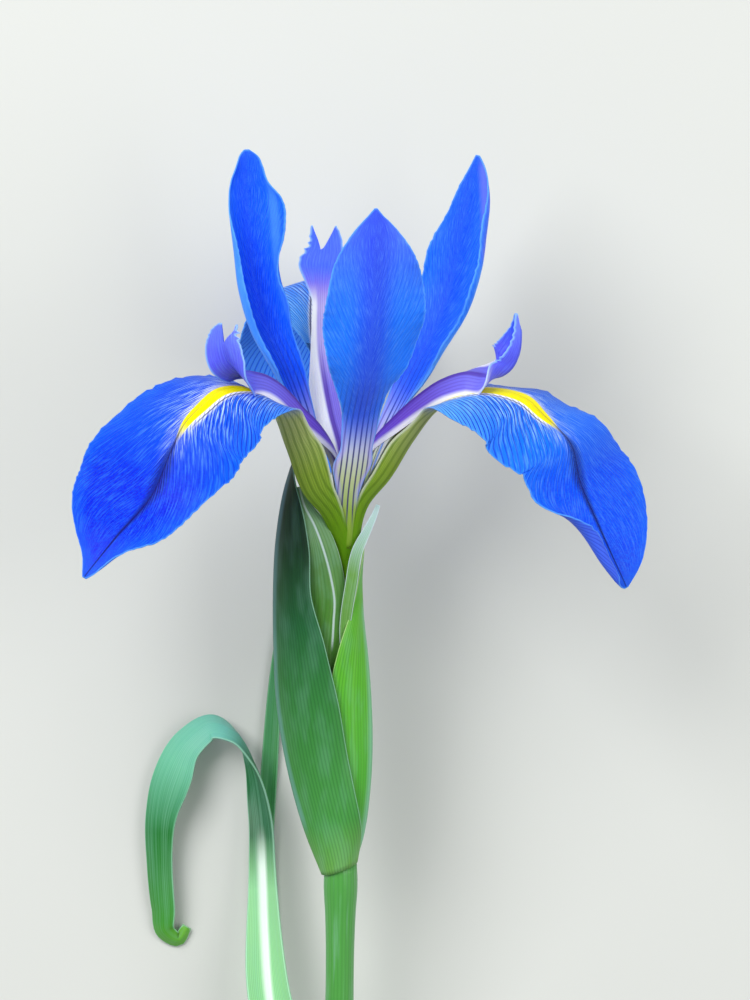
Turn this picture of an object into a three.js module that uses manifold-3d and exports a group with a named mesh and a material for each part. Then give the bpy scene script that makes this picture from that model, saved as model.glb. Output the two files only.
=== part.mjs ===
// A blue iris, cut and laid down on its back: three drooping falls, three upright standards, the
// three-armed style, the stamens, the green spathe round the ovary, two leaves and the cut stem.
// Millimetres. +Z is up from the surface that the flower lies on, and +Y runs from the cut end of
// the stem to the tips of the standards. The origin is on that surface, under the middle of the flower.
import * as THREE from 'three';
import Module from 'manifold-3d';
import { mergeVertices } from 'three/addons/utils/BufferGeometryUtils.js';

const wasm = await Module();
wasm.setup();

// Where the top of the flower tube sits, and how far the bloom leans up from the surface
const FLOWER_BASE = { x: -3, y: 53, z: 38 };
const LEAN = 16;

// Thickness of the petals and arms, and of the papery bracts and the leaves
const PETAL_THICKNESS = 0.7;
const BRACT_THICKNESS = 0.6;
const LEAF_THICKNESS = 0.8;

// Curling is strongest at the margin: the part of it at a place goes with this power of its distance
const CURL_POWER = 5;
const SECTION_STEPS = 48;

// The axis of the bloom, the way to its back, and the way across
const lean = THREE.MathUtils.degToRad(LEAN);
const ACROSS = new THREE.Vector3(1, 0, 0);
const AXIS = new THREE.Vector3(0, Math.cos(lean), Math.sin(lean));
const BACK = new THREE.Vector3(0, Math.sin(lean), -Math.cos(lean));

// The way out from the axis, and the way round it, at an azimuth
function outward(azimuth) {
  const a = THREE.MathUtils.degToRad(azimuth);
  return ACROSS.clone().multiplyScalar(Math.cos(a)).addScaledVector(BACK, Math.sin(a));
}

function sideways(azimuth) {
  const a = THREE.MathUtils.degToRad(azimuth);
  return ACROSS.clone().multiplyScalar(-Math.sin(a)).addScaledVector(BACK, Math.cos(a));
}

// A midrib given as [out from the axis, up the axis, sideways] becomes points beside the flower base
function inBloom(azimuth, midrib) {
  const out = outward(azimuth);
  const side = sideways(azimuth);
  return midrib.map(([r, h, l = 0]) => new THREE.Vector3()
    .addScaledVector(out, r).addScaledVector(AXIS, h).addScaledVector(side, l));
}

// Value of a smooth curve through knots [place, value, value...], as a list of values
function follow(knots, place) {
  const last = knots.length - 1;
  let k = 0;
  while (k < last - 1 && place >= knots[k + 1][0]) k += 1;
  const span = knots[k + 1][0] - knots[k][0];
  const s = (place - knots[k][0]) / span;
  const rate = (i, c) => (knots[i + 1][c] - knots[i][c]) / (knots[i + 1][0] - knots[i][0]);
  const slope = (i, c) => {
    if (i === 0) return rate(0, c);
    if (i === last) return rate(last - 1, c);
    const before = knots[i][0] - knots[i - 1][0];
    const after = knots[i + 1][0] - knots[i][0];
    return (rate(i - 1, c) * after + rate(i, c) * before) / (before + after);
  };
  return knots[k].slice(1).map((value, i) => {
    const c = i + 1;
    return (2 * s ** 3 - 3 * s ** 2 + 1) * value
      + (s ** 3 - 2 * s ** 2 + s) * span * slope(k, c)
      + (3 * s ** 2 - 2 * s ** 3) * knots[k + 1][c]
      + (s ** 3 - s ** 2) * span * slope(k + 1, c);
  });
}

// Knots [part of the length, x, y, z] along a line of points
function along(points) {
  const reach = [0];
  for (let i = 1; i < points.length; i += 1) reach.push(reach[i - 1] + points[i].distanceTo(points[i - 1]));
  return points.map((p, i) => [reach[i] / reach[reach.length - 1], p.x, p.y, p.z]);
}

function pointAt(knots, place) {
  return new THREE.Vector3(...follow(knots, place));
}

function tangentAt(knots, place) {
  const step = 0.001;
  const ahead = pointAt(knots, Math.min(place + step, 1));
  return ahead.sub(pointAt(knots, Math.max(place - step, 0))).normalize();
}

// The cross section of one half of a blade: how far it has gone across and up, at each step
function halfSection(crease, bend, curl) {
  const section = [[0, 0]];
  for (let i = 0; i < SECTION_STEPS; i += 1) {
    const t = (i + 0.5) / SECTION_STEPS;
    const angle = THREE.MathUtils.degToRad(crease + bend * t + curl * t ** CURL_POWER);
    const [across, up] = section[i];
    section.push([across + Math.cos(angle) / SECTION_STEPS, up + Math.sin(angle) / SECTION_STEPS]);
  }
  return section;
}

// Rows of a blade's shape: [place, width left, width right, turn, crease left, crease right,
// bend left, bend right, curl left, curl right], widths in mm and the rest in degrees.
// Left and right are the two sides of the midrib, and a positive angle goes to the inner face.
function bladePoint(blade, place, across) {
  const knots = blade.knots;
  const centre = pointAt(knots, place);
  const tangent = tangentAt(knots, place);
  const wide = blade.side.clone().addScaledVector(tangent, -blade.side.dot(tangent)).normalize();
  const inner = tangent.clone().cross(wide);
  const row = follow(blade.rows, place);
  const hand = across < 0 ? 0 : 1;
  const turn = THREE.MathUtils.degToRad(row[2]);
  const w = wide.clone().multiplyScalar(Math.cos(turn)).addScaledVector(inner, Math.sin(turn));
  const n = inner.clone().multiplyScalar(Math.cos(turn)).addScaledVector(wide, -Math.sin(turn));
  const section = halfSection(row[3 + hand], row[5 + hand], row[7 + hand]);
  const width = Math.max(row[hand], 0.25);
  const t = Math.abs(across) * SECTION_STEPS;
  const i = Math.min(Math.floor(t), SECTION_STEPS - 1);
  const part = t - i;
  const sideward = THREE.MathUtils.lerp(section[i][0], section[i + 1][0], part) * width;
  const upward = THREE.MathUtils.lerp(section[i][1], section[i + 1][1], part) * width;
  return centre.addScaledVector(w, Math.sign(across) * sideward)
    .addScaledVector(n, upward + ripple(blade, place, across));
}

// Waves along the margins: [height in mm, waves along the blade, start of the wave] for each side
function ripple(blade, place, across) {
  if (!blade.waves) return 0;
  const [height, count, start] = blade.waves[across < 0 ? 0 : 1];
  const fade = Math.min(1, Math.max(0, (place - 0.35) / 0.15)) * (1 - place ** 8);
  return height * across ** 4 * fade * Math.sin(2 * Math.PI * (count * place + start));
}

// A blade as one closed sheet: the same triangles on both faces, and a wall round the margin.
// Past the place where a blade is slit, its two lobes part along the midrib.
function sheet(blade) {
  const { lengthwise, halfwise, thickness } = blade;
  const crowd = blade.crowd ?? 1.4;
  const places = [];
  for (let i = 0; i <= lengthwise; i += 1) places.push(1 - (1 - i / lengthwise) ** crowd);
  const slitRow = blade.slit ? places.findIndex((place) => place >= blade.slit[0][0]) : lengthwise;
  const points = [];
  const index = new Map();
  const vertex = (i, j, hand) => {
    const split = j === 0 && i > slitRow;
    const key = `${i},${hand * j},${split ? hand : 0}`;
    if (!index.has(key)) {
      const gap = i > slitRow ? follow(blade.slit, places[i])[hand < 0 ? 0 : 1] : 0;
      const reach = fringe(blade, places[i], i);
      const margin = 1 - (1 - j / halfwise) ** 1.25;
      const point = bladePoint(blade, places[i], hand * (gap + (reach - gap) * margin));
      if (blade.floor !== undefined) point.z = Math.max(point.z, blade.floor + thickness / 2);
      index.set(key, points.length);
      points.push(point);
    }
    return index.get(key);
  };
  const faces = [];
  for (let i = 0; i < lengthwise; i += 1) {
    for (const hand of [-1, 1]) {
      for (let j = 0; j < halfwise; j += 1) {
        const a = vertex(i, j, hand);
        const b = vertex(i + 1, j, hand);
        const c = vertex(i + 1, j + 1, hand);
        const d = vertex(i, j + 1, hand);
        if (hand > 0) faces.push([a, b, c], [a, c, d]);
        else faces.push([a, c, b], [a, d, c]);
      }
    }
  }
  return thicken(points, faces, thickness, blade.floor ?? -Infinity);
}

// The toothed edge of a crest: every other row of its lobes is cut back
function fringe(blade, place, row) {
  if (!blade.teeth) return 1;
  const [start, depth] = blade.teeth;
  return place > start && place < 1 && row % 2 === 1 ? 1 - depth : 1;
}

function thicken(points, faces, thickness, floor) {
  const normals = points.map(() => new THREE.Vector3());
  for (const [a, b, c] of faces) {
    const normal = points[b].clone().sub(points[a]).cross(points[c].clone().sub(points[a]));
    for (const corner of [a, b, c]) normals[corner].add(normal);
  }
  const solid = [];
  for (const half of [thickness / 2, -thickness / 2]) {
    points.forEach((point, i) => {
      const skin = point.clone().addScaledVector(normals[i].clone().normalize(), half);
      solid.push(skin.x, skin.y, Math.max(skin.z, floor));
    });
  }
  const count = points.length;
  const triangles = [];
  const edges = new Map();
  for (const [a, b, c] of faces) {
    triangles.push(a, b, c, count + a, count + c, count + b);
    for (const [p, q] of [[a, b], [b, c], [c, a]]) {
      if (edges.has(`${q},${p}`)) edges.delete(`${q},${p}`);
      else edges.set(`${p},${q}`, [p, q]);
    }
  }
  for (const [p, q] of edges.values()) triangles.push(p, count + p, q, q, count + p, count + q);
  const geometry = new THREE.BufferGeometry();
  geometry.setAttribute('position', new THREE.Float32BufferAttribute(solid, 3));
  geometry.setIndex(triangles);
  return geometry;
}

// A closed round stem along points, with [place, radius across, radius through] at places on it
function rod(points, radii, sides, rings, floor = -Infinity) {
  const knots = along(points);
  const solid = [];
  const triangles = [];
  for (let i = 0; i <= rings; i += 1) {
    const place = i / rings;
    const centre = pointAt(knots, place);
    const tangent = tangentAt(knots, place);
    const up = ACROSS.clone().cross(tangent).normalize();
    const wide = tangent.clone().cross(up);
    const [across, through] = follow(radii, place);
    for (let j = 0; j < sides; j += 1) {
      const angle = (2 * Math.PI * j) / sides;
      const point = centre.clone().addScaledVector(wide, across * Math.cos(angle))
        .addScaledVector(up, -through * Math.sin(angle));
      solid.push(point.x, point.y, Math.max(point.z, floor));
    }
  }
  for (let i = 0; i < rings; i += 1) {
    for (let j = 0; j < sides; j += 1) {
      const a = i * sides + j;
      const b = i * sides + ((j + 1) % sides);
      triangles.push(a, b, b + sides, a, b + sides, a + sides);
    }
  }
  const top = rings * sides;
  for (let j = 1; j < sides - 1; j += 1) triangles.push(0, j + 1, j, top, top + j, top + j + 1);
  const geometry = new THREE.BufferGeometry();
  geometry.setAttribute('position', new THREE.Float32BufferAttribute(solid, 3));
  geometry.setIndex(triangles);
  return geometry;
}

// Solids grown as one piece
function fuse(geometries) {
  const solids = geometries.map((geometry) => {
    const merged = mergeVertices(geometry);
    return new wasm.Manifold(new wasm.Mesh({
      numProp: 3,
      vertProperties: new Float32Array(merged.attributes.position.array),
      triVerts: new Uint32Array(merged.index.array),
    }));
  });
  const mesh = solids.reduce((whole, solid) => whole.add(solid)).getMesh();
  const geometry = new THREE.BufferGeometry();
  geometry.setAttribute('position', new THREE.BufferAttribute(mesh.vertProperties, 3));
  geometry.setIndex(new THREE.BufferAttribute(mesh.triVerts, 1));
  return geometry;
}

// A petal or arm of the bloom, from its azimuth, midrib and rows
function petal(azimuth, midrib, rows, more) {
  return {
    knots: along(inBloom(azimuth, midrib)),
    side: sideways(azimuth),
    rows,
    thickness: PETAL_THICKNESS,
    ...more,
  };
}

// A leaf or bract, from points [x, y, z] beside the flower base and the way that its right side faces
function leaf(points, side, rows, more) {
  return {
    knots: along(points.map((p) => new THREE.Vector3(...p))),
    side: new THREE.Vector3(...side),
    rows,
    thickness: BRACT_THICKNESS,
    ...more,
  };
}

// The surface that the flower lies on, as seen from the flower base
const FLOOR = -FLOWER_BASE.z;

// Falls. The green haft is a deep channel up to where the blade opens, wider on its outer side.
// Its widths are those of the two sides at each row.
function haft(left, right) {
  const rows = [[0, 10, 20], [0.07, 20, 50], [0.14, 25, 60], [0.24, 25, 55], [0.34, 12, 30]];
  return rows.map(([place, crease, bend], i) => (
    [place, left[i], right[i], 0, crease, crease, bend, bend, 0, 0]
  ));
}
const FALL_MESH = { lengthwise: 22, halfwise: 5 };

const fallLeft = petal(218, [
  [2.3, 0], [5, 6], [9.5, 11.5], [13, 20], [16.5, 28.5], [20.5, 32], [24, 33], [28, 33], [32, 31],
  [35.5, 28.5], [38.5, 24], [42.5, 17], [50.5, 10.5], [57.5, 4.5],
], [
  ...haft([1.2, 2.9, 5.2, 5.8, 4.8], [1.2, 2.6, 4.8, 6, 5]),
  [0.42, 7, 9, -3, 0, 0, 0, -25, 0, 0],
  [0.50, 11, 11.5, -8, 0, 0, -10, -38, 0, 0],
  [0.58, 13.5, 12.8, -16, -5, 0, -15, -38, 0, 0],
  [0.68, 17, 12, -22, -5, 0, -15, -28, 0, 0],
  [0.77, 17.8, 8.5, -24, -5, 0, -12, -20, 0, 0],
  [0.86, 14, 6.2, -22, -5, 0, -5, -5, 0, 0],
  [0.92, 8.2, 3.6, -20, -5, 0, 0, 0, 0, 60],
  [0.96, 3.5, 2.4, -20, -5, 0, 0, 0, 0, 120],
  [1, 0.4, 0.4, -20, 0, 0, 0, 0, 0, 0],
], { ...FALL_MESH, waves: [[0.5, 7, 0.2], [0.5, 6, 0.6]] });

const fallRight = petal(338, [
  [2.3, 0], [4, 7.5], [8.5, 13.5], [13, 21], [17.5, 27], [20.5, 29.5], [24, 31], [30.5, 31.5],
  [34.5, 30.5], [37.5, 28], [40, 26], [42.5, 23.5], [44.5, 16.5], [48, 9], [53.5, -2],
], [
  ...haft([0.8, 1.7, 3.1, 3.7, 3.1], [1.2, 2.6, 4.6, 5.5, 4.6]),
  [0.42, 9, 8, 0, 0, 0, -25, 0, 0, 0],
  [0.50, 13, 10, 0, 0, -5, -38, -15, 0, 0],
  [0.58, 14.3, 12, 8, 0, -5, -38, -20, 0, 0],
  [0.68, 12.6, 13.2, 16, 0, -5, -28, -15, 0, 0],
  [0.78, 10.8, 16, 24, 0, -5, -15, -12, 60, 0],
  [0.86, 6, 14.3, 28, 0, -5, 0, -5, 120, 0],
  [0.93, 3.5, 9.3, 30, 0, -5, 0, 0, 130, 0],
  [0.975, 2, 5, 30, 0, -5, 0, 0, 100, 0],
  [1, 0.4, 0.4, 30, 0, 0, 0, 0, 0, 0],
], { ...FALL_MESH, waves: [[0.6, 6, 0.1], [0.5, 7, 0.5]] });

// The back fall's blade lies pressed flat on the surface
const fallBack = petal(98, [
  [2.3, 0], [4.6, 6], [8, 15, 0.5], [12.5, 25, 1.7], [18.5, 35, 1.6], [25.5, 40.5, 0.4], [32, 42, -1],
  [38, 38.5, -1.5], [42, 30.5, -2], [44, 20, -2], [43.5, 9, -2], [41.5, 1.5, -2],
], [
  ...haft([1.2, 2.4, 3.6, 4.2, 3.6], [1.2, 2.4, 3.6, 4.2, 3.6]),
  [0.42, 8, 8, 0, 0, 0, 0, 0, 0, 0],
  [0.50, 11.5, 13, 0, -8, -8, -15, -20, 0, 0],
  [0.60, 12, 15, 0, -8, -8, -20, -25, 0, 0],
  [0.75, 12.5, 16, 0, -5, -5, -15, -15, 0, 0],
  [0.84, 11, 14, 0, -3, -3, 0, 0, 0, 0],
  [0.92, 7.5, 9.5, 0, -3, -3, 0, 0, 0, 0],
  [0.97, 4, 5, 0, -3, -3, 0, 0, 0, 0],
  [1, 0.5, 0.5, 0, 0, 0, 0, 0, 0, 0],
], { ...FALL_MESH, floor: FLOOR, waves: [[0.5, 6, 0.3], [0.5, 6, 0.8]] });

// Standards
const STANDARD_MESH = { lengthwise: 18, halfwise: 4 };

const standardFront = petal(283, [
  [2.3, 0], [3.5, 9.5], [7.5, 18], [12, 27], [18, 35.5], [22, 45.5], [23.5, 54.5], [24, 61], [24, 67.5],
], [
  [0, 0.8, 0.8, 0, 10, 10, 20, 20, 0, 0],
  [0.12, 2, 1.4, 0, 10, 10, 20, 20, 0, 0],
  [0.18, 3, 2.1, 0, 5, 5, 10, 10, 0, 0],
  [0.24, 3.8, 3.4, 0, 5, 5, 10, 10, 0, 0],
  [0.29, 2.9, 3.1, 0, 5, 5, 10, 10, 0, 0],
  [0.34, 3, 3.4, 0, 5, 5, 10, 10, 0, 0],
  [0.42, 3.6, 3.8, 0, 5, 5, 10, 10, 0, 0],
  [0.50, 5.4, 5, 0, 5, 5, 10, 10, 0, 0],
  [0.60, 7.7, 7.9, 0, 5, 5, 10, 10, 0, 0],
  [0.70, 8.8, 9.5, 0, 5, 5, 10, 10, 0, 0],
  [0.80, 8.2, 9, 0, 5, 5, 5, 5, 0, 0],
  [0.90, 6, 6.2, 0, 5, 5, 0, 0, 0, 0],
  [0.95, 3.6, 3.5, 0, 5, 5, 0, 0, 0, 0],
  [1, 0.4, 0.4, 0, 0, 0, 0, 0, 0, 0],
], { ...STANDARD_MESH, waves: [[0.5, 6, 0.1], [0.5, 6, 0.4]] });

const standardLeft = petal(162, [
  [2.3, 0], [3, 6], [4.5, 12], [6.5, 18.5], [9, 25.5], [11.5, 32], [15, 39.5], [17, 47], [18, 56],
  [18.5, 64], [18.5, 71.5],
], [
  [0, 0.8, 0.8, 0, 10, 10, 20, 20, 0, 0],
  [0.15, 1.5, 1.5, 0, 15, 15, 30, 30, 0, 0],
  [0.28, 2.2, 2.8, -10, 15, 15, 30, 30, 0, 0],
  [0.42, 3.2, 6, -40, 10, 20, 30, 50, 0, 30],
  [0.54, 4.6, 7.2, -52, 10, 20, 40, 60, 0, 80],
  [0.62, 6, 7.6, -56, 10, 20, 40, 60, 60, 90],
  [0.68, 6.2, 7.5, -58, 10, 20, 40, 60, 110, 90],
  [0.74, 6, 7, -60, 10, 20, 40, 60, 50, 80],
  [0.80, 6.6, 6.5, -60, 10, 20, 30, 50, 0, 60],
  [0.88, 6.5, 4.7, -60, 5, 15, 30, 30, 20, 30],
  [0.93, 3.9, 3.7, -60, 5, 10, 30, 20, 40, 60],
  [0.965, 2.8, 2.4, -60, 5, 10, 20, 20, 0, 60],
  [1, 0.5, 0.4, -60, 0, 0, 0, 0, 0, 0],
], { ...STANDARD_MESH, lengthwise: 22, halfwise: 5, waves: [[0.4, 5, 0.2], [0.3, 6, 0.4]] });

const standardRight = petal(42, [
  [2.3, 0], [4.5, 9.5], [8.5, 18], [13, 24.5], [17, 30], [21, 35.5], [24.5, 41.5], [28.5, 54.5], [32, 67],
], [
  [0, 0.8, 0.8, 0, 10, 10, 20, 20, 0, 0],
  [0.15, 1.6, 1.5, 0, 15, 15, 30, 30, 0, 0],
  [0.30, 2.8, 1.9, 5, 15, 15, 30, 30, 30, 0],
  [0.42, 5.2, 3.2, 10, 5, 5, 25, 10, 60, 0],
  [0.54, 7.6, 5.7, 10, 5, 5, 25, 10, 90, 0],
  [0.66, 10, 6.5, 10, 5, 5, 25, 10, 90, 0],
  [0.78, 10, 5.4, 10, 5, 5, 25, 10, 90, 0],
  [0.88, 8.2, 3.2, 10, 5, 5, 20, 5, 90, 0],
  [0.95, 4.3, 1.6, 10, 5, 5, 10, 0, 50, 0],
  [1, 0.4, 0.4, 10, 0, 0, 0, 0, 0, 0],
], { ...STANDARD_MESH, halfwise: 5, waves: [[0.4, 6, 0.2], [0.6, 6, 0.7]] });

// Style: a column, and three keeled arms that end in two toothed crest lobes each. The rows of an
// arm start thin at the column, and its near side slopes down more steeply than its far one.
function arm(azimuth, midrib, rows, slit) {
  const start = [[0, 0.6, 0.6, 0, -10, -10, 0, 0, 0, 0], [0.20, 1.5, 1.5, 0, -20, -20, -15, -15, 0, 0]];
  return petal(azimuth, midrib, [...start, ...rows], {
    lengthwise: 30, halfwise: 3, crowd: 1.2, slit, teeth: [0.84, 0.14],
  });
}
const armLeft = arm(218, [
  [0.3, 4], [1, 9], [2.5, 18], [6.5, 24], [9.5, 27], [12, 29.8], [15, 32.6], [18, 34.5],
  [21, 35.6], [23.5, 36.4], [25.6, 38.1], [26.7, 40.5], [27.1, 42.8], [27.3, 45.4],
], [
  [0.40, 3, 2.8, 0, -20, -58, -20, -20, 0, 0],
  [0.54, 3.8, 3.1, 0, -20, -58, -15, -15, 0, 0],
  [0.68, 4.2, 3.3, 0, -20, -57, 0, 0, 0, 0],
  [0.76, 3.6, 3.6, 0, -28, -48, 0, 0, 0, 0],
  [0.81, 3.6, 5.4, 0, -42, -22, 0, 0, 0, 0],
  [0.86, 3.8, 6.6, 0, -44, -14, 0, 0, 0, 0],
  [0.91, 3.8, 6.5, 0, -30, -10, 0, 10, 0, 0],
  [0.95, 3.3, 5, 0, -20, -8, 0, 20, 0, 0],
  [1, 0.9, 3.6, 0, -20, 10, 0, 30, 0, 0],
], [[0.92, 0, 0], [0.955, 0.02, 0.3], [1, 0.1, 0.8]]);
const armRight = arm(338, [
  [0.3, 4], [1, 9], [4.5, 19], [9, 24.5], [14, 29.3], [18.5, 32.6], [23, 34.3],
  [26.4, 34.1], [29, 34.1], [31.3, 35.6], [32.8, 38.3], [33.3, 42.2], [32.8, 46],
], [
  [0.40, 2.8, 3, 0, -58, -20, -20, -20, 0, 0],
  [0.54, 3.2, 3.8, 0, -58, -20, -15, -15, 0, 0],
  [0.67, 3.4, 3.8, 0, -57, -5, 0, 0, 0, 0],
  [0.73, 3, 3.4, 0, -45, 30, 0, 0, 0, 0],
  [0.775, 3.6, 4.4, 0, 20, 60, 0, 0, 0, 0],
  [0.82, 3.8, 5.8, 0, 55, 65, 0, 0, 0, 0],
  [0.87, 2.8, 5.6, 0, 50, 65, 0, 0, 0, 0],
  [0.935, 1.8, 3.8, 0, 50, 60, 0, 0, 0, 0],
  [1, 0.6, 1, 0, 50, 60, 0, 0, 0, 0],
], [[0.95, 0, 0], [1, 0.2, 0.5]]);
const armBack = arm(100, [
  [0.3, 4], [1, 9], [3, 17, 0.5], [6, 22.5, 1.6], [9, 27.5, 2.2], [12.5, 33, 2.5], [16.5, 37.5, 2],
  [20.5, 40.5, 1.3], [24, 43, 0.9], [26.5, 46, 0.4], [27.5, 49, -0.3], [28, 52.5, -0.5],
], [
  [0.23, 2.2, 2.4, 0, -20, -10, -10, -10, 0, 0],
  [0.34, 2.8, 3.1, 0, -28, -10, -10, -10, 0, 0],
  [0.44, 2.8, 3, 0, -28, -10, -10, -10, 0, 0],
  [0.55, 3, 1.8, 0, -20, -10, -10, -10, 0, 0],
  [0.66, 2.6, 1.4, 0, -10, -10, 0, 0, 0, 0],
  [0.74, 2.4, 1.4, 0, -5, -5, 0, 0, 0, 0],
  [0.82, 3.2, 2.6, 0, 0, 0, 0, 0, 0, 0],
  [0.88, 4.2, 3.8, 0, 0, 0, 0, 0, 0, 0],
  [0.94, 4, 2.8, 0, 0, 0, 0, 0, 0, 0],
  [1, 2.8, 2.1, 0, 0, 0, 0, 0, 0, 0],
], [[0.92, 0, 0], [0.96, 0.35, 0.35], [1, 0.8, 0.8]]);
const COLUMN_RADIUS = 0.9;
const COLUMN_HEIGHT = 8;

// Stamens: a thin filament that widens into a long flat anther, under each arm
const FILAMENT = [
  [0, 0.35, 0.35], [0.55, 0.35, 0.35], [0.62, 0.6, 0.4], [0.8, 0.8, 0.45], [0.95, 0.6, 0.4], [1, 0.3, 0.3],
];

// Spathe: the outer valve from the left, the inner one from the right, and two papery bracts.
// Their left side in the rows is the back and their right side the front, and the right-hand
// valve curls the other way.
const UP = [0, 0, 1];
const spatheLeft = leaf([
  [-4.4, -60, -12.6], [-7.5, -52, -11], [-10.5, -41, -9], [-12.5, -28.5, -6.5], [-13, -17, -4],
  [-13, -8, -2], [-12.5, 1, 0], [-11, 10, 1.5], [-9.5, 15, 2],
], UP, [
  [0, 8, 9.6, 0, 0, 0, 130, 150, 0, 0],
  [0.12, 9.8, 12, 0, 28, 30, 85, 80, 0, 0],
  [0.28, 11, 12.8, 0, 30, 32, 70, 73, 0, 0],
  [0.45, 11, 12.8, 0, 30, 30, 70, 70, 0, 0],
  [0.58, 9.5, 11, 0, 30, 30, 60, 60, 0, 0],
  [0.70, 7.5, 8.8, 0, 30, 32, 40, 40, 0, 0],
  [0.82, 6, 7.4, 0, 30, 35, 40, 40, 0, 0],
  [0.93, 3, 4, 0, 30, 35, 20, 20, 0, 0],
  [1, 0.4, 0.4, 0, 20, 20, 0, 0, 0, 0],
], { lengthwise: 16, halfwise: 5 });
const spatheRight = leaf([
  [1.1, -59.2, -12.3], [3, -53, -11.2], [4.2, -44.5, -9.5], [4.6, -34, -7.5], [4.4, -28, -6.5],
  [3.9, -21, -5], [3, -12, -2.8], [2.8, -5.5, -1.5], [3.2, -0.5, -1],
], UP, [
  [0, 3.1, 3.1, 0, 0, 0, -90, -90, 0, 0],
  [0.12, 5, 5.6, 0, -38, -31, -65, -65, 0, 0],
  [0.28, 6, 7.6, 0, -35, -36, -60, -62, 0, 0],
  [0.45, 6, 8.4, 0, -33, -38, -60, -60, 0, 0],
  [0.55, 5.2, 8.6, 0, -22, -31, -60, -62, 0, 0],
  [0.64, 4.2, 7.5, 0, -15, -22, -60, -64, 0, 0],
  [0.73, 2.6, 6, 0, -5, -12, -40, -52, 0, 0],
  [0.83, 1.8, 3.2, 0, -5, -5, -20, -40, 0, 0],
  [0.92, 1.2, 1.7, 0, -5, -5, -10, -20, 0, 0],
  [1, 0.4, 0.4, 0, 0, 0, 0, 0, 0, 0],
], { lengthwise: 14, halfwise: 4 });
const bractLeft = leaf([
  [-2.8, -32, -4.6], [-3.6, -26, -3.2], [-4.1, -20, -1.9], [-3.6, -14, -0.3], [-3.2, -10, 0.7],
  [-3.6, -6, 1.6], [-4.9, 0, 3.4], [-6.1, 3.6, 3.2], [-7.7, 7.2, 3], [-8.4, 10.5, 2.8],
], [1, 0, 0], [
  [0, 1, 1.4, 0, 0, 0, 15, 15, 0, 0],
  [0.2, 2, 2.1, 0, 0, 0, 15, 15, 0, 0],
  [0.4, 3.2, 2.5, 0, 0, 0, 15, 15, 0, 0],
  [0.55, 3.2, 2.8, 0, 0, 0, 15, 15, 0, 0],
  [0.78, 1.5, 1.9, 0, 0, 0, 10, 10, 0, 0],
  [0.9, 0.8, 1, 0, 0, 0, 0, 0, 0, 0],
  [1, 0.4, 0.4, 0, 0, 0, 0, 0, 0, 0],
], { lengthwise: 14, halfwise: 2 });
const bractRight = leaf([
  [-0.4, -21, -1.8], [-0.6, -16, -0.3], [-0.2, -11, 1.3], [0.6, -6.5, 2.6], [2, -0.9, 3.5],
  [3.8, 2.7, 2.8], [5.1, 5.4, 2.4], [5.8, 7.2, 2.2],
], [1, 0, 0], [
  [0, 0.5, 0.6, 0, 0, 0, 20, 20, 0, 0],
  [0.2, 0.6, 1, 0, 0, 0, 20, 20, 0, 0],
  [0.45, 0.8, 1.3, 0, 0, 0, 20, 20, 0, 0],
  [0.7, 1, 1.1, 0, 0, 0, 0, 0, 0, 0],
  [1, 0.4, 0.4, 0, 0, 0, 0, 0, 0, 0],
], { lengthwise: 10, halfwise: 2 });

// Stem and ovary, from the cut end up to the flower base
const STEM = [
  [-1.5, -176, -35.05], [-1.7, -145, -31.2], [-1.6, -115, -24.9], [-1.3, -85, -18], [-1, -60, -12.5],
];
const STEM_RADII = [[0, 2.95, 2.95], [0.6, 2.9, 2.9], [0.96, 2.8, 2.8], [1, 3.2, 3.2]];
const OVARY = [
  [-1, -59.7, -12.4], [-0.6, -39, -8.5], [-0.3, -19, -4.5], [-0.1, -6.5, -1.5], [0, -0.4, -0.1],
];
const OVARY_RADII = [
  [0, 1.4, 1.4], [0.3, 1.6, 1.6], [0.5, 2.3, 2.3], [0.75, 2.4, 2.4], [0.88, 2.1, 2.1], [1, 2.5, 2.5],
];

// Leaves. The curled one clasps the stem, stands off to the left, arches over and curls at its tip.
const leafCurled = leaf([
  [-5.8, -146, -31.4], [-5.8, -134, -28.9], [-6.5, -122, -27], [-9.5, -106, -25.2], [-12.3, -93.5, -24.5],
  [-13.8, -84, -25.5], [-14.6, -72, -27.5], [-15, -60, -29], [-15.5, -50, -30], [-17.5, -40.5, -31],
  [-20.5, -35.5, -31.5], [-25, -33.5, -32], [-29.5, -36.5, -32.5], [-33.5, -43.5, -33], [-35, -50.5, -33.5],
  [-35, -60, -34], [-34.5, -68, -34.5], [-34, -72.5, -35.5], [-31.5, -74, -36.5], [-29.8, -71.5, -36.5],
], [0, 0, -1], [
  [0, 8.8, 8.8, 180, 0, 0, 125, 125, 0, 0],
  [0.10, 7.4, 8.6, 178, 0, 0, 95, 115, 0, 0],
  [0.16, 4.4, 7.4, 160, 10, 10, 35, 80, 0, 0],
  [0.22, 4, 6.2, 130, 20, 20, 25, 50, 0, 0],
  [0.32, 5.8, 5.8, 100, 25, 25, 40, 40, 0, 0],
  [0.40, 5, 5, 80, 25, 25, 30, 30, 0, 0],
  [0.50, 3.4, 3.4, 65, 20, 20, 20, 20, 0, 0],
  [0.60, 2.9, 2.9, 45, 15, 15, 15, 15, 0, 0],
  [0.66, 2.9, 2.9, 0, 10, 10, 15, 15, 0, 0],
  [0.71, 3.3, 3.2, -45, 10, 10, 10, 10, 0, 0],
  [0.78, 4.8, 3.3, -62, 5, 5, 10, 10, 0, 0],
  [0.83, 3.6, 3, -64, 5, 5, 10, 10, 0, 0],
  [0.87, 2.8, 2.8, -65, 5, 5, 10, 10, 0, 0],
  [0.95, 2.4, 2.4, -60, 10, 10, 10, 10, 0, 0],
  [1, 1, 1, -60, 10, 10, 10, 10, 0, 0],
], { lengthwise: 44, halfwise: 4, crowd: 1, thickness: LEAF_THICKNESS, floor: FLOOR });
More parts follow.
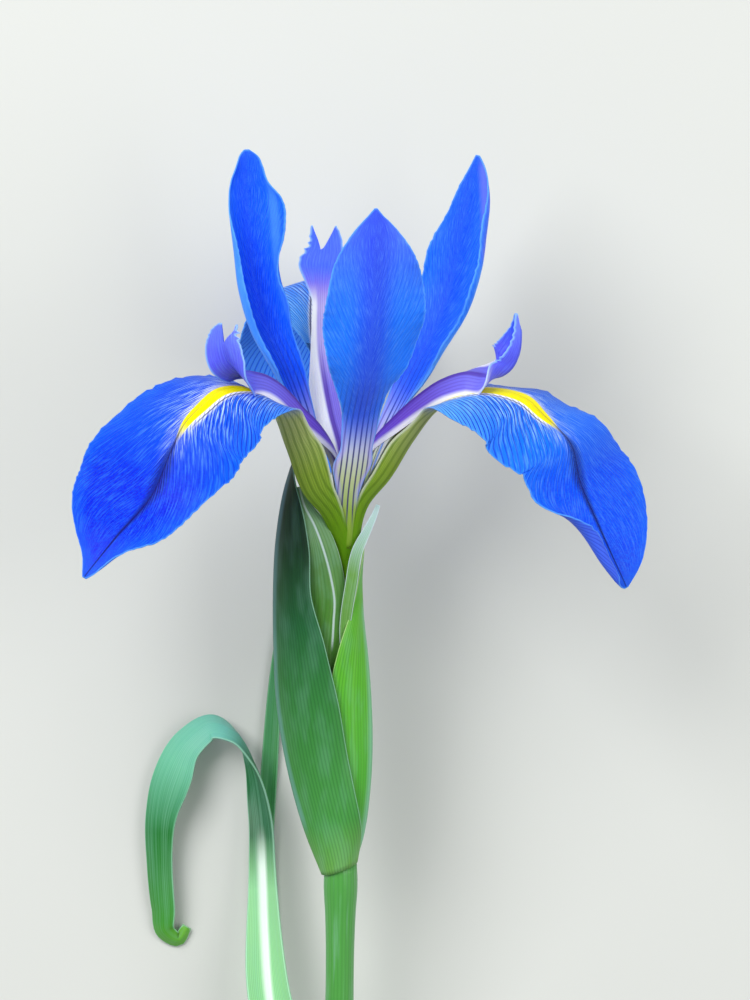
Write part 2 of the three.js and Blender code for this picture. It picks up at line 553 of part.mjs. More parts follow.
const leafNarrow = leaf([
  [-2, -160, -37], [-3.5, -145, -37.2], [-8, -120, -37.3], [-13, -95, -37.3], [-15, -75, -37.3],
  [-15.5, -58, -37.3], [-14.5, -42, -37.3], [-13, -22, -37.3], [-10.5, -5, -37.3],
], [-1, 0, 0], [
  [0, 2.6, 2.6, 0, 0, 0, 20, 20, 0, 0],
  [0.2, 2.4, 2.4, 0, 5, 5, 10, 10, 0, 0],
  [0.6, 1.9, 1.9, 0, 10, 10, 15, 15, 0, 0],
  [0.85, 1.3, 1.3, 0, 10, 10, 10, 10, 0, 0],
  [1, 0.4, 0.4, 0, 0, 0, 0, 0, 0, 0],
], { lengthwise: 16, halfwise: 2, crowd: 1.1, thickness: LEAF_THICKNESS, floor: FLOOR });

// Finishes
const finish = (color, roughness) => new THREE.MeshStandardMaterial({ color, roughness, metalness: 0 });
const FALL_BLUE = finish(0x1c4fe0, 0.55);
const STANDARD_BLUE = finish(0x2f6ef0, 0.55);
const STYLE_VIOLET = finish(0x8a6ae0, 0.5);
const ANTHER_CREAM = finish(0xd8c9a0, 0.7);
const VALVE_BLUE_GREEN = finish(0x3f8f5f, 0.5);
const VALVE_YELLOW_GREEN = finish(0x6fae48, 0.5);
const BRACT_PALE = finish(0xb9cfa8, 0.6);
const STEM_GREEN = finish(0x5a9f56, 0.45);
const OVARY_GREEN = finish(0x7a9a2c, 0.5);
const LEAF_GREEN = finish(0x4f9f72, 0.45);

const flower = new THREE.Group();
flower.position.set(FLOWER_BASE.x, FLOWER_BASE.y, FLOWER_BASE.z);

function add(name, geometry, material) {
  const mesh = new THREE.Mesh(geometry, material);
  mesh.name = name;
  flower.add(mesh);
}

function points(list) {
  return list.map((p) => new THREE.Vector3(...p));
}

add('stem', rod(points(STEM), STEM_RADII, 12, 10, FLOOR), STEM_GREEN);
add('tube_ovary', rod(points(OVARY), OVARY_RADII, 12, 12), OVARY_GREEN);
add('fall_left', sheet(fallLeft), FALL_BLUE);
add('fall_right', sheet(fallRight), FALL_BLUE);
add('fall_back', sheet(fallBack), FALL_BLUE);
add('standard_front', sheet(standardFront), STANDARD_BLUE);
add('standard_left', sheet(standardLeft), STANDARD_BLUE);
add('standard_right', sheet(standardRight), STANDARD_BLUE);
const column = rod(inBloom(0, [[0, 0.1], [0, COLUMN_HEIGHT / 2], [0, COLUMN_HEIGHT]]),
  [[0, COLUMN_RADIUS, COLUMN_RADIUS], [1, COLUMN_RADIUS, COLUMN_RADIUS]], 10, 2);
add('style', fuse([column, sheet(armLeft), sheet(armRight), sheet(armBack)]), STYLE_VIOLET);
const STAMENS = {
  stamen_left: [218, [
    [1.45, 0.1], [2.6, 8], [5.8, 14, -0.3], [9.5, 21, -0.6], [12.5, 26, -0.6], [15, 29.5, -0.4],
  ]],
  stamen_right: [338, [
    [1.45, 0.1], [2.6, 8], [6, 14.5, 0.4], [10.5, 22, 0.9], [13.5, 26, 0.9], [15.5, 28.5, 0.6],
  ]],
  stamen_back: [99, [
    [1.45, 0.1], [2.6, 8], [5.5, 15, 0.4], [8.5, 21.5, 1.1], [11, 26.5, 1.8], [13.5, 31, 1.9],
  ]],
};
for (const [name, [azimuth, route]] of Object.entries(STAMENS)) {
  add(name, rod(inBloom(azimuth, route), FILAMENT, 8, 12), ANTHER_CREAM);
}
add('spathe_left', sheet(spatheLeft), VALVE_BLUE_GREEN);
add('spathe_right', sheet(spatheRight), VALVE_YELLOW_GREEN);
add('membrane_left', sheet(bractLeft), BRACT_PALE);
add('membrane_right', sheet(bractRight), BRACT_PALE);
add('leaf_curled', sheet(leafCurled), LEAF_GREEN);
add('leaf_narrow', sheet(leafNarrow), LEAF_GREEN);

export default flower;
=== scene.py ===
"""A blue iris, cut and laid down on its back on a plain pale floor, seen from straight above.

Lengths in this file are millimetres beside the flower base, the top of the flower tube, and become
metres in the frame of the model when a mesh is made. +Z is up from the floor, and +Y runs from the
cut end of the stem to the tips of the standards.
"""

import logging
import math
from dataclasses import dataclass, field
from enum import Enum
from typing import Mapping, Sequence

import bpy
import numpy as np
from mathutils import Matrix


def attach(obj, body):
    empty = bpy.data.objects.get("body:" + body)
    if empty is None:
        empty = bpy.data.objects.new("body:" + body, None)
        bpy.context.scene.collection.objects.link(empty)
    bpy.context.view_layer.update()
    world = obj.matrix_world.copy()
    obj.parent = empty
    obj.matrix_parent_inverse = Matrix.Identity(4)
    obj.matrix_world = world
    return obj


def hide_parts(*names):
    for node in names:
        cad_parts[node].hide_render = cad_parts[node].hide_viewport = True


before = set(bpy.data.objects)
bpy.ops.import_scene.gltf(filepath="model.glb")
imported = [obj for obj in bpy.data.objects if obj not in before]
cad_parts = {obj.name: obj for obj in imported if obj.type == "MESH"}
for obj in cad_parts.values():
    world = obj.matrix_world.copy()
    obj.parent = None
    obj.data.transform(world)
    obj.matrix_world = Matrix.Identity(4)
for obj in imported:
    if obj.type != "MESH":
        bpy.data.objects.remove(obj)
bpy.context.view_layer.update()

log = logging.getLogger("iris")

MM = 0.001
FLOWER_BASE = np.array([-3.0, 53.0, 38.0])
LEAN = math.radians(16)
ROOT = 8.0  # how far the falls reach down round the tube
FLOOR = -FLOWER_BASE[2]

# Azimuths round the axis of the bloom in degrees, from its right side by way of its back
LEFT = 218
RIGHT = 338
REAR = 98
STANDARD_FRONT = 283
STANDARD_LEFT = 162
STANDARD_RIGHT = 42

STEP = 0.001  # share of a line's length over which its direction is read
SECTION = 96  # steps across half a blade in which its bend is added up
LEAST_WIDTH = 0.25
LEAST_LOBE = 0.12  # share of the half width that stays between a slit and the teeth

ACROSS = np.array([1.0, 0.0, 0.0])
AXIS = np.array([0.0, math.cos(LEAN), math.sin(LEAN)])
BACK = np.array([0.0, math.sin(LEAN), -math.cos(LEAN)])
UP = np.array([0.0, 0.0, 1.0])

Row = Sequence[float]
Stops = Sequence[tuple[float, str]]
Feeds = Mapping[object, object]
Node = bpy.types.Node
Material = bpy.types.Material


class Skin(Enum):
    """The two faces of a petal or leaf, as the shaders tell them apart."""

    INNER = 0.0
    OUTER = 1.0


class Slot(Enum):
    """Names of the material slots of the model."""

    FALL = "fall_petal"
    STANDARD = "standard_petal"
    STYLE = "style_arms"
    STAMEN = "stamen"
    OVARY = "ovary_skin"
    STEM = "stem_skin"
    OUTER_VALVE = "outer_valve_leaf"
    INNER_VALVE = "inner_valve_leaf"
    BRACT = "bract_skin"
    LEAF = "leaf_blade"


# Curves


def unit(vectors: np.ndarray) -> np.ndarray:
    """Give the vectors along the last axis a length of one."""
    return vectors / np.maximum(np.linalg.norm(vectors, axis=-1, keepdims=True), 1e-12)


def follow(knots: Sequence[Row] | np.ndarray, places: np.ndarray) -> np.ndarray:
    """Read a smooth curve through knots.

    Args:
        knots: rows of a place and the values there.
        places: where to read the curve.

    Returns:
        One row of values for each place.
    """
    table = np.asarray(knots, float)
    at, values = table[:, 0], table[:, 1:]
    rate = np.diff(values, axis=0) / np.diff(at)[:, None]
    slope = np.vstack([rate[:1], np.zeros_like(values[1:-1]), rate[-1:]])
    before, after = np.diff(at)[:-1, None], np.diff(at)[1:, None]
    slope[1:-1] = (rate[:-1] * after + rate[1:] * before) / (before + after)
    k = np.clip(np.searchsorted(at, places, side="right") - 1, 0, len(at) - 2)
    span = (at[k + 1] - at[k])[:, None]
    s = (places - at[k])[:, None] / span
    return (
        (2 * s**3 - 3 * s**2 + 1) * values[k]
        + (s**3 - 2 * s**2 + s) * span * slope[k]
        + (3 * s**2 - 2 * s**3) * values[k + 1]
        + (s**3 - s**2) * span * slope[k + 1]
    )


def along(points: Sequence[Row] | np.ndarray) -> tuple[np.ndarray, float]:
    """Turn a line of points into knots by their share of the line's length.

    Args:
        points: the points in order.

    Returns:
        The knots, and the length of the line.
    """
    line = np.asarray(points, float)
    reach = np.concatenate([[0.0], np.cumsum(np.linalg.norm(np.diff(line, axis=0), axis=1))])
    return np.column_stack([reach / reach[-1], line]), float(reach[-1])


def outward(azimuth: float) -> np.ndarray:
    """Give the way out from the bloom's axis at an azimuth in degrees."""
    a = math.radians(azimuth)
    return math.cos(a) * ACROSS + math.sin(a) * BACK


def sideways(azimuth: float) -> np.ndarray:
    """Give the way round the bloom's axis at an azimuth in degrees."""
    a = math.radians(azimuth)
    return -math.sin(a) * ACROSS + math.cos(a) * BACK


def in_bloom(azimuth: float, midrib: Sequence[Row]) -> np.ndarray:
    """Place a midrib of [out from the axis, up the axis, sideways] beside the flower base."""
    rows = np.array([[*p, 0.0][:3] for p in midrib])
    return rows[:, :1] * outward(azimuth) + rows[:, 1:2] * AXIS + rows[:, 2:] * sideways(azimuth)


# Meshes


@dataclass
class Shell:
    """A closed mesh on its way to a piece: points, faces, and a row of each surface map per point."""

    points: np.ndarray
    faces: np.ndarray
    maps: dict[str, np.ndarray]


def open_edges(faces: np.ndarray, count: int) -> np.ndarray:
    """Find the edges that only one face has.

    Args:
        faces: four corners a face.
        count: how many points there are.

    Returns:
        The two ends of each open edge, in its face's order.
    """
    edges = np.concatenate([np.column_stack([faces[:, i], faces[:, (i + 1) % 4]]) for i in range(4)])
    there = edges[:, 0] * count + edges[:, 1]
    back = edges[:, 1] * count + edges[:, 0]
    return edges[~np.isin(there, back)]


def point_normals(points: np.ndarray, faces: np.ndarray) -> np.ndarray:
    """Average the normals of the faces round each point."""
    one = points[faces[:, 2]] - points[faces[:, 0]]
    other = points[faces[:, 3]] - points[faces[:, 1]]
    normals = np.zeros_like(points)
    for corner in range(4):
        np.add.at(normals, faces[:, corner], np.cross(one, other))
    return unit(normals)


@dataclass
class Veins:
    """How the veins of a blade run: lines along its length, swept out to the margins.

    A vein is where this is a whole number: lengthwise * (place - start) - across * |side| ** power.
    Before the start they run along the blade.
    """

    lengthwise: float = 0.0
    across: tuple[float, float] = (10.0, 10.0)
    power: float = 1.0
    start: float = 0.0


@dataclass
class Margin:
    """Waves and fine crimping along the margins of a blade, per side where there are two.

    A wave is [height in mm, how many along the blade, share of a turn where it starts]. The second
    crimping is given by its height and number against the first, and so are the fine teeth.
    """

    waves: tuple[Row, Row] = ((0.0, 1.0, 0.0), (0.0, 1.0, 0.0))
    crimp: float = 0.0
    crimps: float = 30.0
    notch: float = 0.0
    start: float = 0.35
    fade_in: float = 0.15
    second_crimp: Row = (0.7, 1.63)
    teeth: Row = (1.9, 0.6, 3.1)

    def fade(self, place: np.ndarray) -> np.ndarray:
        """Fade the waves in past the haft and out at the tip."""
        return np.clip((place - self.start) / self.fade_in, 0, 1) * (1 - place**8)

    def ripple(self, place: np.ndarray, across: np.ndarray, hand: int) -> np.ndarray:
        """Height of the waves above the blade.

        Args:
            place: place along the blade, one a row.
            across: share of the half width, one a row and column.
            hand: -1 for the left side and 1 for the right one.

        Returns:
            The heights in millimetres.
        """
        height, count, start = self.waves[0 if hand < 0 else 1]
        turn = 2 * math.pi * place
        wave = height * np.sin(count * turn + 2 * math.pi * start)
        second, more = self.second_crimp
        fine = np.sin(self.crimps * turn + hand) + second * np.sin(more * self.crimps * turn + 2 * hand)
        ripple = wave[:, None] * across**4 + self.crimp * fine[:, None] * across**9
        return ripple * self.fade(place)[:, None]

    def outline(self, place: np.ndarray, hand: int) -> np.ndarray:
        """How far the fine teeth of the margin stand out, in millimetres."""
        turn = 2 * math.pi * place
        count, second, more = self.teeth
        teeth = np.sin(count * self.crimps * turn + hand) + second * np.sin(more * self.crimps * turn)
        return self.notch * teeth * self.fade(place)


@dataclass
class Blade:
    """A petal, arm, bract or leaf: one thin sheet along a midrib.

    Rows are [place, width left, width right, turn, crease left, crease right, bend left, bend right,
    curl left, curl right], widths in millimetres and the rest in degrees. A positive angle goes to
    the inner face, and the curl is strongest at the margin. Rows crowd together at the tip and
    columns at the margin. The teeth are [where they start, how many, depth left, depth right].
    """

    midrib: np.ndarray
    side: np.ndarray
    rows: Sequence[Row]
    veins: Veins = field(default_factory=Veins)
    margin: Margin = field(default_factory=Margin)
    thickness: float = 0.4
    lengthwise: int = 120
    halfwise: int = 26
    crowd: float = 1.4
    curl_power: float = 5.0
    slit: Sequence[Row] | None = None
    teeth: tuple[float, float, float, float] | None = None
    on_floor: bool = False
    far: int = -1
    root: float = 0.0
    column_crowd: float = 1.25
    notch_width: float = 2.0
    teeth_fade: float = 0.03
    uneven: Row = (0.55, 0.45, 0.37)

    def line(self) -> tuple[np.ndarray, float]:
        """Give the midrib's knots, with place 0 where its root ends, and its length past the root."""
        knots, length = along(self.midrib)
        knots[:, 0] = (knots[:, 0] * length - self.root) / (length - self.root)
        return knots, length - self.root

    def frame_at(self, place: np.ndarray) -> tuple[np.ndarray, np.ndarray, np.ndarray, np.ndarray]:
        """Find the midrib and the ways across and up from it.

        Args:
            place: places along the blade.

        Returns:
            The rows of sizes, the points on the midrib, the ways across and the ways up.
        """
        knots, _ = self.line()
        ahead = follow(knots, np.minimum(place + STEP, 1))
        tangent = unit(ahead - follow(knots, np.maximum(place - STEP, knots[0, 0])))
        wide = unit(self.side - (tangent @ self.side)[:, None] * tangent)
        inner = np.cross(tangent, wide)
        row = follow(self.rows, place)
        turn = np.radians(row[:, 2:3])
        across = wide * np.cos(turn) + inner * np.sin(turn)
        up = inner * np.cos(turn) - wide * np.sin(turn)
        return row, follow(knots, place), across, up

    def half(self, place: np.ndarray, hand: int) -> tuple[np.ndarray, dict[str, np.ndarray]]:
        """Lay out one side of the blade.

        Args:
            place: places along the blade.
            hand: -1 for the left side and 1 for the right one.

        Returns:
            Points by row and column out from the midrib, and the surface maps there.
        """
        row, centre, wide, up = self.frame_at(place)
        _, length = self.line()
        k = 0 if hand < 0 else 1
        width = np.maximum(row[:, k], LEAST_WIDTH)
        share = (np.arange(SECTION) + 0.5) / SECTION
        crease, bend, curl = (np.radians(row[:, c + k])[:, None] for c in (3, 5, 7))
        angle = crease + bend * share + curl * share**self.curl_power
        start = np.zeros((len(place), 1))
        out = np.hstack([start, np.cumsum(np.cos(angle), axis=1) / SECTION])
        rise = np.hstack([start, np.cumsum(np.sin(angle), axis=1) / SECTION])

        reach = 1 + self.margin.outline(place, hand) / np.maximum(width, self.notch_width)
        gap = np.zeros(len(place))
        if self.slit is not None:
            past = place >= self.slit[0][0]
            gap[past] = np.maximum(follow(self.slit, place[past])[:, k], 0)
        if self.teeth:
            first, count, depth = self.teeth[0], self.teeth[1], self.teeth[2 + k]
            turn = math.pi * count * place + hand
            mean, swing, rate = self.uneven
            uneven = mean + swing * np.sin(rate * turn + 2 * hand)
            grown = np.clip((place - first) / self.teeth_fade, 0, 1)
            saw = (1 - np.abs(np.sin(turn))) * uneven * grown
            reach = np.maximum(reach - depth * (uneven - saw) * grown, gap + LEAST_LOBE)
        spread = 1 - (1 - np.linspace(0, 1, self.halfwise + 1)) ** self.column_crowd
        across = gap[:, None] + (reach - gap)[:, None] * spread[None, :]

        at = across * SECTION
        i = np.clip(at.astype(int), 0, SECTION - 1)
        part = at - i
        r = np.arange(len(place))[:, None]
        sideward = (out[r, i] * (1 - part) + out[r, i + 1] * part) * width[:, None]
        upward = (rise[r, i] * (1 - part) + rise[r, i + 1] * part) * width[:, None]
        upward = upward + self.margin.ripple(place, across, hand)
        points = (
            centre[:, None]
            + hand * sideward[..., None] * wide[:, None]
            + upward[..., None] * up[:, None]
        )
        if self.on_floor:
            points[..., 2] = np.maximum(points[..., 2], FLOOR + self.thickness / 2)

        from_midrib = across * width[:, None]
        to_margin = np.minimum((reach[:, None] - across) * width[:, None], (1 - place[:, None]) * length)
        full = np.broadcast_to(place[:, None], across.shape)
        run = self.veins.lengthwise * np.maximum(full - self.veins.start, 0)
        vein = run - self.veins.across[k] * across**self.veins.power
        maps = {
            "Place": np.stack([full, hand * across], axis=-1),
            "Veins": np.stack([hand * vein, full * length], axis=-1),
            "Reach": np.stack([from_midrib, to_margin], axis=-1),
            "Skin": np.stack([np.zeros(full.shape), -self.far * hand * from_midrib], axis=-1),
        }
        return points, maps

    def shell(self) -> Shell:
        """Build the blade as a closed sheet.

        Returns:
            Both faces and the wall round the margin, with the maps Place, Veins, Reach and Skin.
        """
        first = self.line()[0][0, 0]
        place = 1 - (1 - first) * (1 - np.linspace(0, 1, self.lengthwise + 1)) ** self.crowd
        slit_row = len(place)
        if self.slit is not None:
            slit_row = int(np.argmax(place >= self.slit[0][0]))
        columns = self.halfwise + 1
        right, right_maps = self.half(place, 1)
        left, left_maps = self.half(place, -1)
        size = len(place) * columns
        right_at = np.arange(size).reshape(len(place), columns)
        left_at = right_at + size
        left_at[: slit_row + 1, 0] = right_at[: slit_row + 1, 0]

        def quads(at: np.ndarray) -> np.ndarray:
            """Join a grid of point numbers into four-cornered faces."""
            return np.stack([at[:-1, :-1], at[1:, :-1], at[1:, 1:], at[:-1, 1:]], axis=-1).reshape(-1, 4)

        faces = np.vstack([quads(right_at), quads(left_at)[:, ::-1]])
        used, index = np.unique(faces, return_inverse=True)
        faces = index.reshape(-1, 4)
        points = np.vstack([right.reshape(-1, 3), left.reshape(-1, 3)])[used]
        maps = {
            key: np.vstack([right_maps[key].reshape(-1, 2), left_maps[key].reshape(-1, 2)])[used]
            for key in right_maps
        }
        return thicken(points, faces, maps, self.thickness, self.on_floor)


THIN = (0.55, 0.45, 1.2)  # share of the thickness at a margin, what it gains inside, and over how many mm


def thicken(
    points: np.ndarray, faces: np.ndarray, maps: dict[str, np.ndarray], thickness: float, on_floor: bool
) -> Shell:
    """Give a sheet two skins and a wall round its open edges.

    Args:
        points: the middle of the sheet.
        faces: four corners a face.
        maps: surface maps of the points.
        thickness: distance between the skins, which are closer together at the margins.
        on_floor: whether the lower skin stops at the floor.

    Returns:
        The closed sheet.
    """
    count = len(points)
    normals = point_normals(points, faces)
    least, gain, over = THIN
    thin = least + gain * np.clip(maps["Reach"][:, 1:2] / over, 0, 1)
    inner = points + normals * thickness / 2 * thin
    outer = points - normals * thickness / 2 * thin
    edges = open_edges(faces, count)
    walls = np.column_stack([edges[:, 0], edges[:, 0] + count, edges[:, 1] + count, edges[:, 1]])
    solid = np.vstack([inner, outer])
    if on_floor:
        solid[:, 2] = np.maximum(solid[:, 2], FLOOR)
    doubled = {key: np.vstack([value, value]) for key, value in maps.items()}
    doubled["Skin"][:, 0] = np.repeat([Skin.INNER.value, Skin.OUTER.value], count)
    return Shell(solid, np.vstack([faces, faces[:, ::-1] + count, walls]), doubled)


@dataclass
class Rod:
    """A stem, tube or filament: a closed round length with [place, radius across, radius through]."""

    route: np.ndarray
    radii: Sequence[Row]
    sides: int = 32
    rings: int = 80
    on_floor: bool = False

    def shell(self) -> Shell:
        """Build the rod with closed ends.

        Returns:
            The rod, with the same maps as a blade: place and angle, and distances in millimetres.
        """
        knots, length = along(self.route)
        place = np.linspace(0, 1, self.rings + 1)
        centre = follow(knots, place)
        ahead = follow(knots, np.minimum(place + STEP, 1))
        tangent = unit(ahead - follow(knots, np.maximum(place - STEP, 0)))
        up = unit(np.cross(ACROSS, tangent))
        wide = np.cross(tangent, up)
        radius = follow(self.radii, place)
        turn = 2 * math.pi * np.arange(self.sides + 1) / self.sides
        x = radius[:, :1] * np.cos(turn)
        y = radius[:, 1:] * np.sin(turn)
        ring = centre[:, None] + x[..., None] * wide[:, None] - y[..., None] * up[:, None]
        first = np.broadcast_to(centre[0], (1, self.sides + 1, 3))
        last = np.broadcast_to(centre[-1], (1, self.sides + 1, 3))
        ring = np.concatenate([first, ring, last])
        if self.on_floor:
            ring[..., 2] = np.maximum(ring[..., 2], FLOOR)
        where = np.concatenate([[0.0], place, [1.0]])
        at = np.arange(ring.shape[0] * ring.shape[1]).reshape(ring.shape[:2])
        faces = np.stack([at[:-1, :-1], at[:-1, 1:], at[1:, 1:], at[1:, :-1]], axis=-1).reshape(-1, 4)
        full = np.broadcast_to(where[:, None], at.shape)
        angle = np.broadcast_to(turn[None, :] / (2 * math.pi), at.shape)
        maps = {
            "Place": np.stack([full, angle], axis=-1),
            "Veins": np.stack([angle * self.sides, full * length], axis=-1),
            "Reach": np.stack([full * length, (1 - full) * length], axis=-1),
            "Skin": np.stack([np.ones(at.shape), np.zeros(at.shape)], axis=-1),
        }
        return Shell(ring.reshape(-1, 3), faces, {k: v.reshape(-1, 2) for k, v in maps.items()})


def make_piece(
    name: str, parts: Sequence[tuple[Shell, Material]], nodes: Sequence[str]
) -> bpy.types.Object:
    """Turn shells into one piece that stands for nodes of the model.

    Args:
        name: name of the piece.
        parts: the closed meshes that it is made of, each with its finish.
        nodes: the nodes that it replaces.

    Returns:
        The new object.
    """
    shells = [shell for shell, _ in parts]
    offsets = np.cumsum([0] + [len(s.points) for s in shells])
    points = (np.vstack([s.points for s in shells]) + FLOWER_BASE) * MM
    faces = np.vstack([s.faces + o for s, o in zip(shells, offsets)])
    mesh = bpy.data.meshes.new(name)
    mesh.from_pydata(points.tolist(), [], faces.tolist())
    corners = np.empty(len(mesh.loops), dtype=np.int32)
    mesh.loops.foreach_get("vertex_index", corners)
    for key in shells[0].maps:
        values = np.vstack([s.maps[key] for s in shells])[corners]
        layer = mesh.uv_layers.new(name=key)
        layer.data.foreach_set("uv", values.astype(np.float32).ravel())
    mesh.polygons.foreach_set("use_smooth", [True] * len(mesh.polygons))
    finishes = list(dict.fromkeys(material for _, material in parts))
    for material in finishes:
        mesh.materials.append(material)
    worn = [np.full(len(shell.faces), finishes.index(material)) for shell, material in parts]
    mesh.polygons.foreach_set("material_index", np.concatenate(worn).astype(np.int32))
    mesh.validate()
    mesh.update()
    piece = bpy.data.objects.new(name, mesh)
    bpy.context.scene.collection.objects.link(piece)
    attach(piece, "root")
    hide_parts(*nodes)
    log.info("%s: %d faces, for %s", name, len(mesh.polygons), ", ".join(nodes))
    return piece


# Finishes: each starts from what the real surface is


def linear(colour: str) -> tuple[float, float, float, float]:
    """Turn an sRGB hex colour into the linear one that the shaders use."""
    parts = [int(colour[i : i + 2], 16) / 255 for i in (1, 3, 5)]
    red, green, blue = (p / 12.92 if p <= 0.04045 else ((p + 0.055) / 1.055) ** 2.4 for p in parts)
    return red, green, blue, 1.0


def span(reading: object, edge: Row) -> Feeds:
    """Give the feeds of an edge: a reading, where it starts and ends, and the share at each."""
    return dict(enumerate((reading, *edge)))


class Graph:
    """The node tree of one material, which ends in a single Principled surface."""

    def __init__(self, name: str) -> None:
        """Start a material with an empty node tree."""
        self.material = bpy.data.materials.new(name)
        self.material.use_nodes = True
        self.tree = self.material.node_tree
        self.tree.nodes.clear()

    def add(self, kind: str, feeds: Feeds | None = None, **settings: object) -> Node:
        """Add a node with its settings and links.

        Args:
            kind: the node's kind, without its ShaderNode prefix.
            feeds: for inputs by name or number, a node, a socket, a hex colour or a plain value.
            settings: attributes of the node; stops are the [position, hex colour] of a ramp, and
                points are those of a curve between two ends at zero.

        Returns:
            The new node.
        """
        node = self.tree.nodes.new("ShaderNode" + kind)
        stops = settings.pop("stops", None)
        points = settings.pop("points", None)
        for key, value in settings.items():
            setattr(node, key, value)
        if stops:
            while len(node.color_ramp.elements) < len(stops):
                node.color_ramp.elements.new(1.0)
            for element, (position, colour) in zip(node.color_ramp.elements, stops):
                element.position = position
                element.color = linear(colour)
        if points:
            curve = node.mapping.curves[0]
            for x, y in points:
                curve.points.new(x, y)
            curve.points[0].location = (0.0, 0.0)
            curve.points[-1].location = (1.0, 0.0)
            node.mapping.update()
        for key, value in (feeds or {}).items():
            named = [s for s in node.inputs if s.enabled and s.name == key]
            socket = named[0] if named else node.inputs[key]
            if isinstance(value, Node):
                value = next(s for s in value.outputs if s.enabled)
            if isinstance(value, bpy.types.NodeSocket):
                self.tree.links.new(value, socket)
            elif isinstance(value, str):
                socket.default_value = linear(value)
            else:
                socket.default_value = value
        return node

    def lay(self, ground: object, colour: object, share: object, *shares: object) -> Node:
        """Lay a colour over another one.

        Args:
            ground: the colour under it.
            colour: the colour that is laid.
            share: how much of it shows, from 0 to 1.
            shares: further shares, each of which thins the layer.

        Returns:
            The colour with the layer.
        """
        for other in shares:
            share = self.add("Math", {0: share, 1: other}, operation="MULTIPLY")
        return self.add("Mix", {"Factor": share, "A": ground, "B": colour}, data_type="RGBA")

    def finish(self, feeds: Feeds) -> Material:
        """Close the tree with its surface.

        Args:
            feeds: what goes in the inputs of the Principled shader.

        Returns:
            The finished material.
        """
        surface = self.add("BsdfPrincipled", feeds)
        self.add("OutputMaterial", {"Surface": surface})
        return self.material


SMOOTH = {"interpolation_type": "SMOOTHSTEP"}
BANDS = {"bands_direction": "X"}
VEIN_PERIOD = math.pi / 10  # the scale at which a banded wave repeats once for each vein


@dataclass
class SurfaceMaps:
    """What a shader can ask about a place on a blade."""

    place: bpy.types.NodeSocket
    veins: Node
    from_midrib: bpy.types.NodeSocket
    to_margin: bpy.types.NodeSocket
    outer: bpy.types.NodeSocket
    near: bpy.types.NodeSocket


def read_maps(g: Graph) -> SurfaceMaps:
    """Read the surface maps of a blade.

    Args:
        g: the tree of its material.

    Returns:
        The place along it, its veins, the distances in millimetres from the midrib and the margin,
        its outer face, and how far to the near side of the midrib a place lies.
    """
    place, reach, skin = (
        g.add("SeparateXYZ", {0: g.add("UVMap", uv_map=name)}).outputs for name in ("Place", "Reach", "Skin")
    )
    veins = g.add("UVMap", uv_map="Veins")
    return SurfaceMaps(place[0], veins, reach[0], reach[1], skin[0], skin[1])


def stripes(g: Graph, m: SurfaceMaps, to_mm: float, stray: float) -> Node:
    """Draw straight stripes side by side along the midrib.

    Args:
        g: the tree of the material.
        m: its surface maps.
        to_mm: how many stripes there are to a millimetre.
        stray: how far they wander.

    Returns:
        The wave of the stripes, from 0 to 1.
    """
    beside = g.add("CombineXYZ", {0: m.near, 1: m.place})
    wave = {"Vector": beside, "Scale": VEIN_PERIOD * to_mm, "Distortion": stray, "Detail": 1.0}
    return g.add("TexWave", wave, **BANDS)


@dataclass(frozen=True)
class Tissue:
    """How living plant tissue takes light: wet cells in a waxy skin, sunken along the veins.

    Some of the light enters the cells, and comes out again in their own colour a little way off.
    The roughness is that of the wax, and the depth of the veins and the reach of the light inside
    are in millimetres.
    """

    roughness: float
    relief: float
    depth: float
    gloss: float = 0.5
    ior: float = 1.42
    inside: float = 0.1
    tint: tuple[float, float, float] = (0.2, 0.5, 1.0)
    reach: float = 0.6
    sunken: bool = True

    def close(self, g: Graph, colour: Node, lines: Node, more: Feeds | None = None) -> Material:
        """Close the tree of a material.

        Args:
            g: the tree.
            colour: the finished colour.
            lines: the veins or ribs, for the relief.
            more: further inputs of the surface.

        Returns:
            The finished material.
        """
        height = {"Height": lines, "Strength": self.relief, "Distance": self.depth * MM}
        return g.finish({
            "Base Color": colour, "Roughness": self.roughness, "IOR": self.ior,
            "Normal": g.add("Bump", height, invert=self.sunken), "Specular IOR Level": self.gloss,
            "Subsurface Weight": self.inside, "Subsurface Radius": self.tint,
            "Subsurface Scale": self.reach * MM, **(more or {}),
        })


